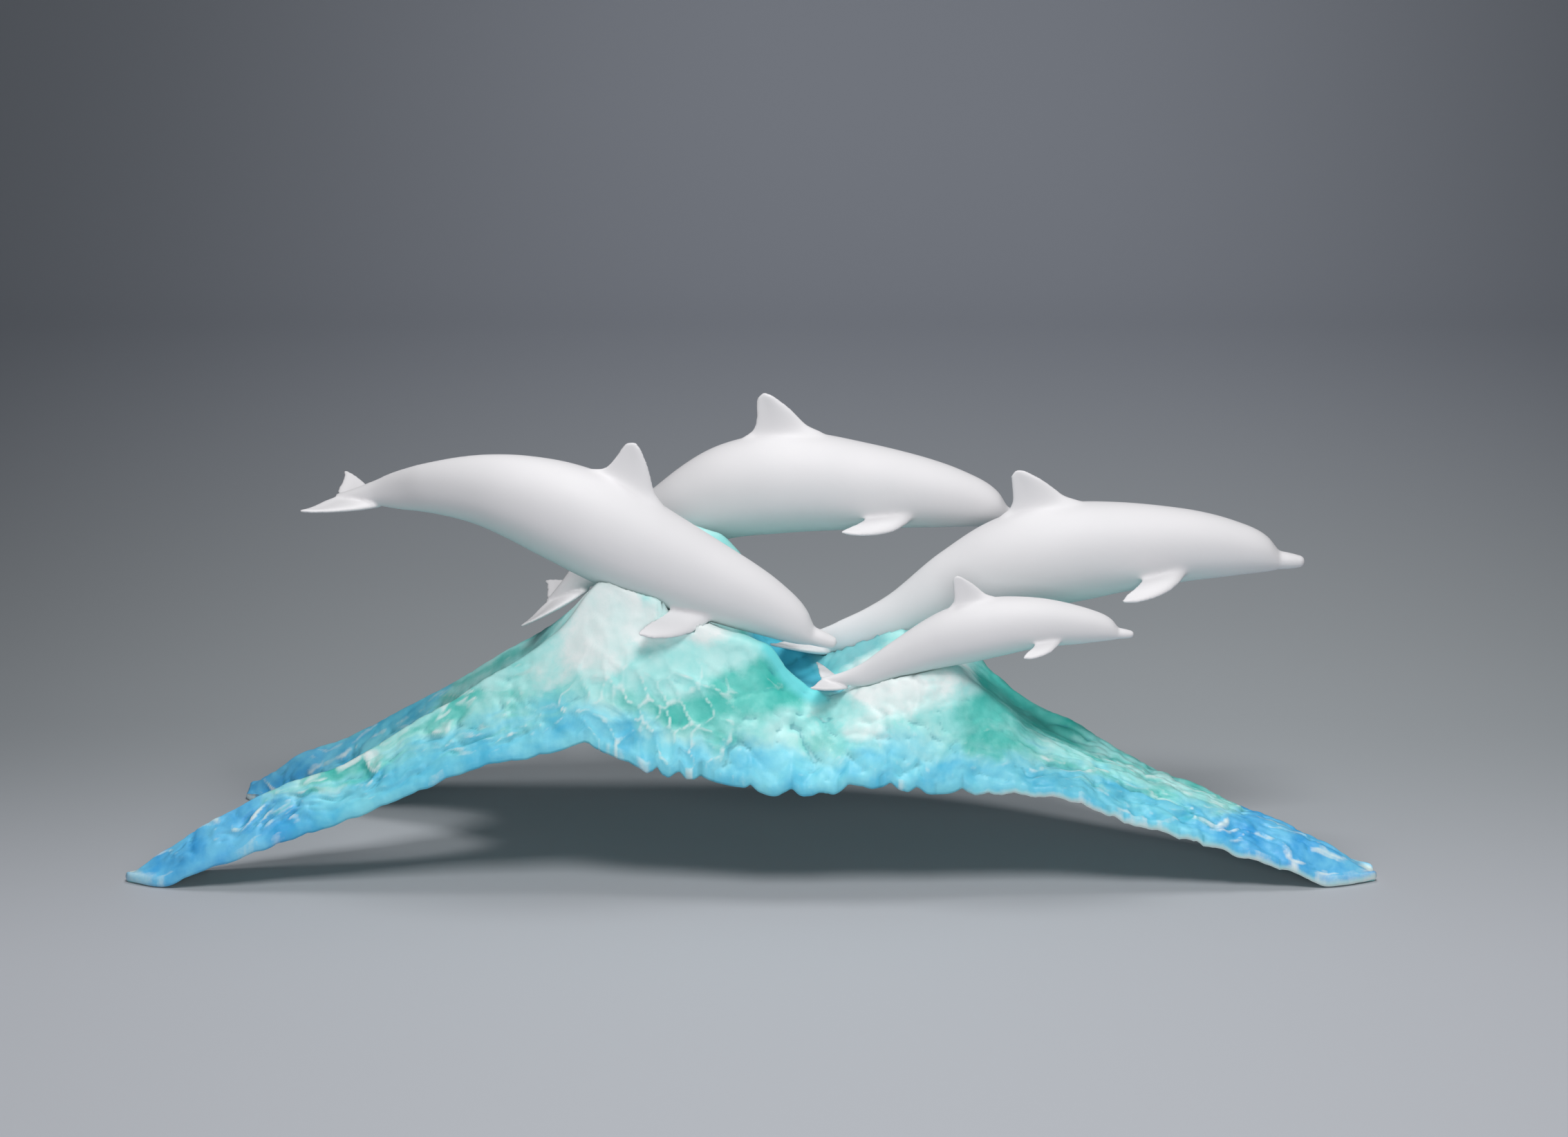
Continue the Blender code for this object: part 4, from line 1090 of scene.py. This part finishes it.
def sprayed_acrylic():
    """Acrylic sprayed over cast resin, satin: mint and green in soft clouds, sky blue at
    the hem and deeper blue at the feet, dark teal as painted shade in the creases and behind
    the pool, and white brushed over whatever stands proud."""
    material, tree, shader = new_material("sprayed_acrylic_on_cast_resin")
    place = add_node(tree, "TexCoord", "Object")
    cloud, speck = (add_node(tree, "TexNoise", "Fac", Vector=place, Scale=1 / (size * MM),
                             Detail=detail, Roughness=rough)
                    for size, detail, rough in ((17, 4.0, 0.55), (2.6, 3.0, 0.6)))
    cloud = add_node(tree, "MapRange", "Result", Value=cloud, From_Min=0.36, From_Max=0.64)
    paint = {}
    for name, (code, *clouded) in PAINTS.items():
        paint[name] = linear(code)
        for shade in clouded:
            paint[name] = add_node(tree, *MIX, _0=cloud, _6=paint[name], _7=linear(shade))
    for name, under, over, spread, most in COATS:
        value = add_node(tree, "Attribute", "Fac", {"attribute_name": name})
        rough = add_node(tree, "Math", 0, {"operation": "MULTIPLY_ADD"}, _0=speck, _1=spread,
                         _2=-spread / 2)
        share = add_node(tree, "Math", 0, {"operation": "ADD"}, _0=value, _1=rough)
        share = add_node(tree, "MapRange", "Result", Value=share, From_Min=0.12,
                         From_Max=0.88, To_Max=most)
        paint[name] = add_node(tree, *MIX, _0=share, _6=paint[under], _7=paint[over])
    add_finish(tree, shader, paint["white"], speck, (0.42, 0.58), 0.3, 0.3)
    return material


def matte_white():
    """Matte acrylic primer-white over cast resin: chalky, with a breath of aqua on the belly,
    partly the wave's aqua sprayed up onto it and partly a painted reflection of the wave."""
    material, tree, shader = new_material("matte_acrylic_on_cast_resin")
    place = add_node(tree, "TexCoord", "Object")
    cloud, grain = (add_node(tree, "TexNoise", "Fac", Vector=place, Scale=1 / (size * MM),
                             Detail=detail) for size, detail in ((30, 3.0), (0.7, 2.0)))
    belly = add_node(tree, "Attribute", "Fac", {"attribute_name": "belly"})
    colour = linear("#E2E0E2")
    # The belly's aqua is partly overspray and partly a painted reflection of the wave beneath.
    for share, code in ((cloud, "#DCDBDD"), (belly, "#C8DFDD")):
        colour = add_node(tree, *MIX, _0=share, _6=colour, _7=linear(code))
    add_finish(tree, shader, colour, grain, (0.52, 0.64), 0.12, 0.1)
    return material


def make_stage():
    """Pale floor that rises far behind in one curve, as a matte paper sweep, with light and
    shade painted on it: painted shade from just behind the figurine and towards its sides,
    round a painted pool of light a little right of the middle, and paler again far behind."""
    bend = np.linspace(0, math.pi / 2, 24)[1:]
    depth = np.concatenate([np.linspace(-3.0, 1.4, 24), 1.4 + 0.9 * np.sin(bend),
                            np.full(8, 2.3)])
    height = np.concatenate([np.zeros(24), 0.9 - 0.9 * np.cos(bend),
                             np.linspace(0.9, 4.0, 9)[1:]])
    points = np.stack(np.broadcast_arrays(np.linspace(-4, 4, 9)[None], depth[:, None],
                                          height[:, None]), axis=-1)
    index = np.arange(points[..., 0].size).reshape(points.shape[:2])
    sweep = put_mesh("paper_sweep", points.reshape(-1, 3),
                     [grid_quads(index[:, :-1], index[:, 1:])])
    sweep.data.shade_smooth()
    material, tree, shader = new_material("matte_grey_paper")
    place = add_node(tree, "TexCoord", "Object")
    across, back = (add_node(tree, "SeparateXYZ", axis, Vector=place) for axis in "XY")
    # Painted light and shade on the paper: a pool of light centred a little right of the middle,
    # painted shade towards the sides and from just behind the figurine, paler again far behind.
    from_painted_light_pool = add_node(tree, "Math", 0, {"operation": "SUBTRACT"}, _0=across, _1=0.16)
    from_painted_light_pool = add_node(tree, "Math", 0, {"operation": "ABSOLUTE"}, _0=from_painted_light_pool)
    behind, side, distant = (
        add_node(tree, "MapRange", "Result", {"interpolation_type": "SMOOTHSTEP"},
                 Value=value, From_Min=start, From_Max=end)
        for value, start, end in ((back, -0.2, 0.2), (from_painted_light_pool, 0.1, 1.1), (back, 0.3, 1.6)))
    # Painted shade just behind and far behind: each a middle colour, darker towards the edges as a
    # painted vignette.
    near, far = (add_node(tree, *MIX, _0=side, _6=linear(middle), _7=linear(edge))
                 for middle, edge in (("#A3A8AC", "#6B6F74"), ("#C6CBD6", "#92979F")))
    rear = add_node(tree, *MIX, _0=distant, _6=near, _7=far)
    colour = add_node(tree, *MIX, _0=behind, _6=linear("#B8BBC1"), _7=rear)
    tree.links.new(colour, shader.inputs["Base Color"])
    shader.inputs["Roughness"].default_value = 0.8
    sweep.data.materials.append(material)


def add_thing(name, data, place):
    """Put a lamp or a camera in the scene, at its place."""
    thing = bpy.data.objects.new(name, data)
    thing.location = place
    bpy.context.scene.collection.objects.link(thing)
    return thing


def light_and_camera():
    """Soft boxes as in a product studio, and the camera where the photographer stood."""
    for name, (place, aim, size, power) in SOFT_BOXES.items():
        light = bpy.data.lights.new(name, "AREA")
        light.size = size
        light.energy = power
        towards = Vector((0, 0, aim)) - Vector(place)
        add_thing(name, light, place).rotation_euler = towards.to_track_quat("-Z", "Y").to_euler()
    world = bpy.data.worlds.new("room")
    bpy.context.scene.world = world
    world.use_nodes = True
    glow = world.node_tree.nodes["Background"]
    glow.inputs["Color"].default_value = linear("#D4DAE2")
    glow.inputs["Strength"].default_value = 0.10
    camera = bpy.data.cameras.new("camera")
    camera.lens = LENS
    camera.sensor_width = SENSOR
    thing = add_thing("camera", camera, np.array(CAMERA_PLACE) * MM + STAND)
    thing.rotation_euler = (math.radians(CAMERA_TILT), 0, 0)
    bpy.context.scene.camera = thing
    bpy.context.scene.view_settings.view_transform = "Standard"


def main():
    """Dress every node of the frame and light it."""
    acrylic = sprayed_acrylic()
    chalk = matte_white()
    dolphins = []
    spines = []
    for name, plan in DOLPHINS.items():
        thing, spine = make_dolphin(name, plan)
        paint_value(thing.data, "belly", belly_share(thing.data, spine))
        thing.data.materials.clear()
        thing.data.materials.append(chalk)
        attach(thing, "root")
        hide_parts(name)
        dolphins.append(thing)
        spines.append(spine)
    wave = make_wave(dolphins, spines)
    wave.data.materials.append(acrylic)
    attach(wave, "root")
    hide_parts("wave_base")
    make_stage()
    light_and_camera()


main()
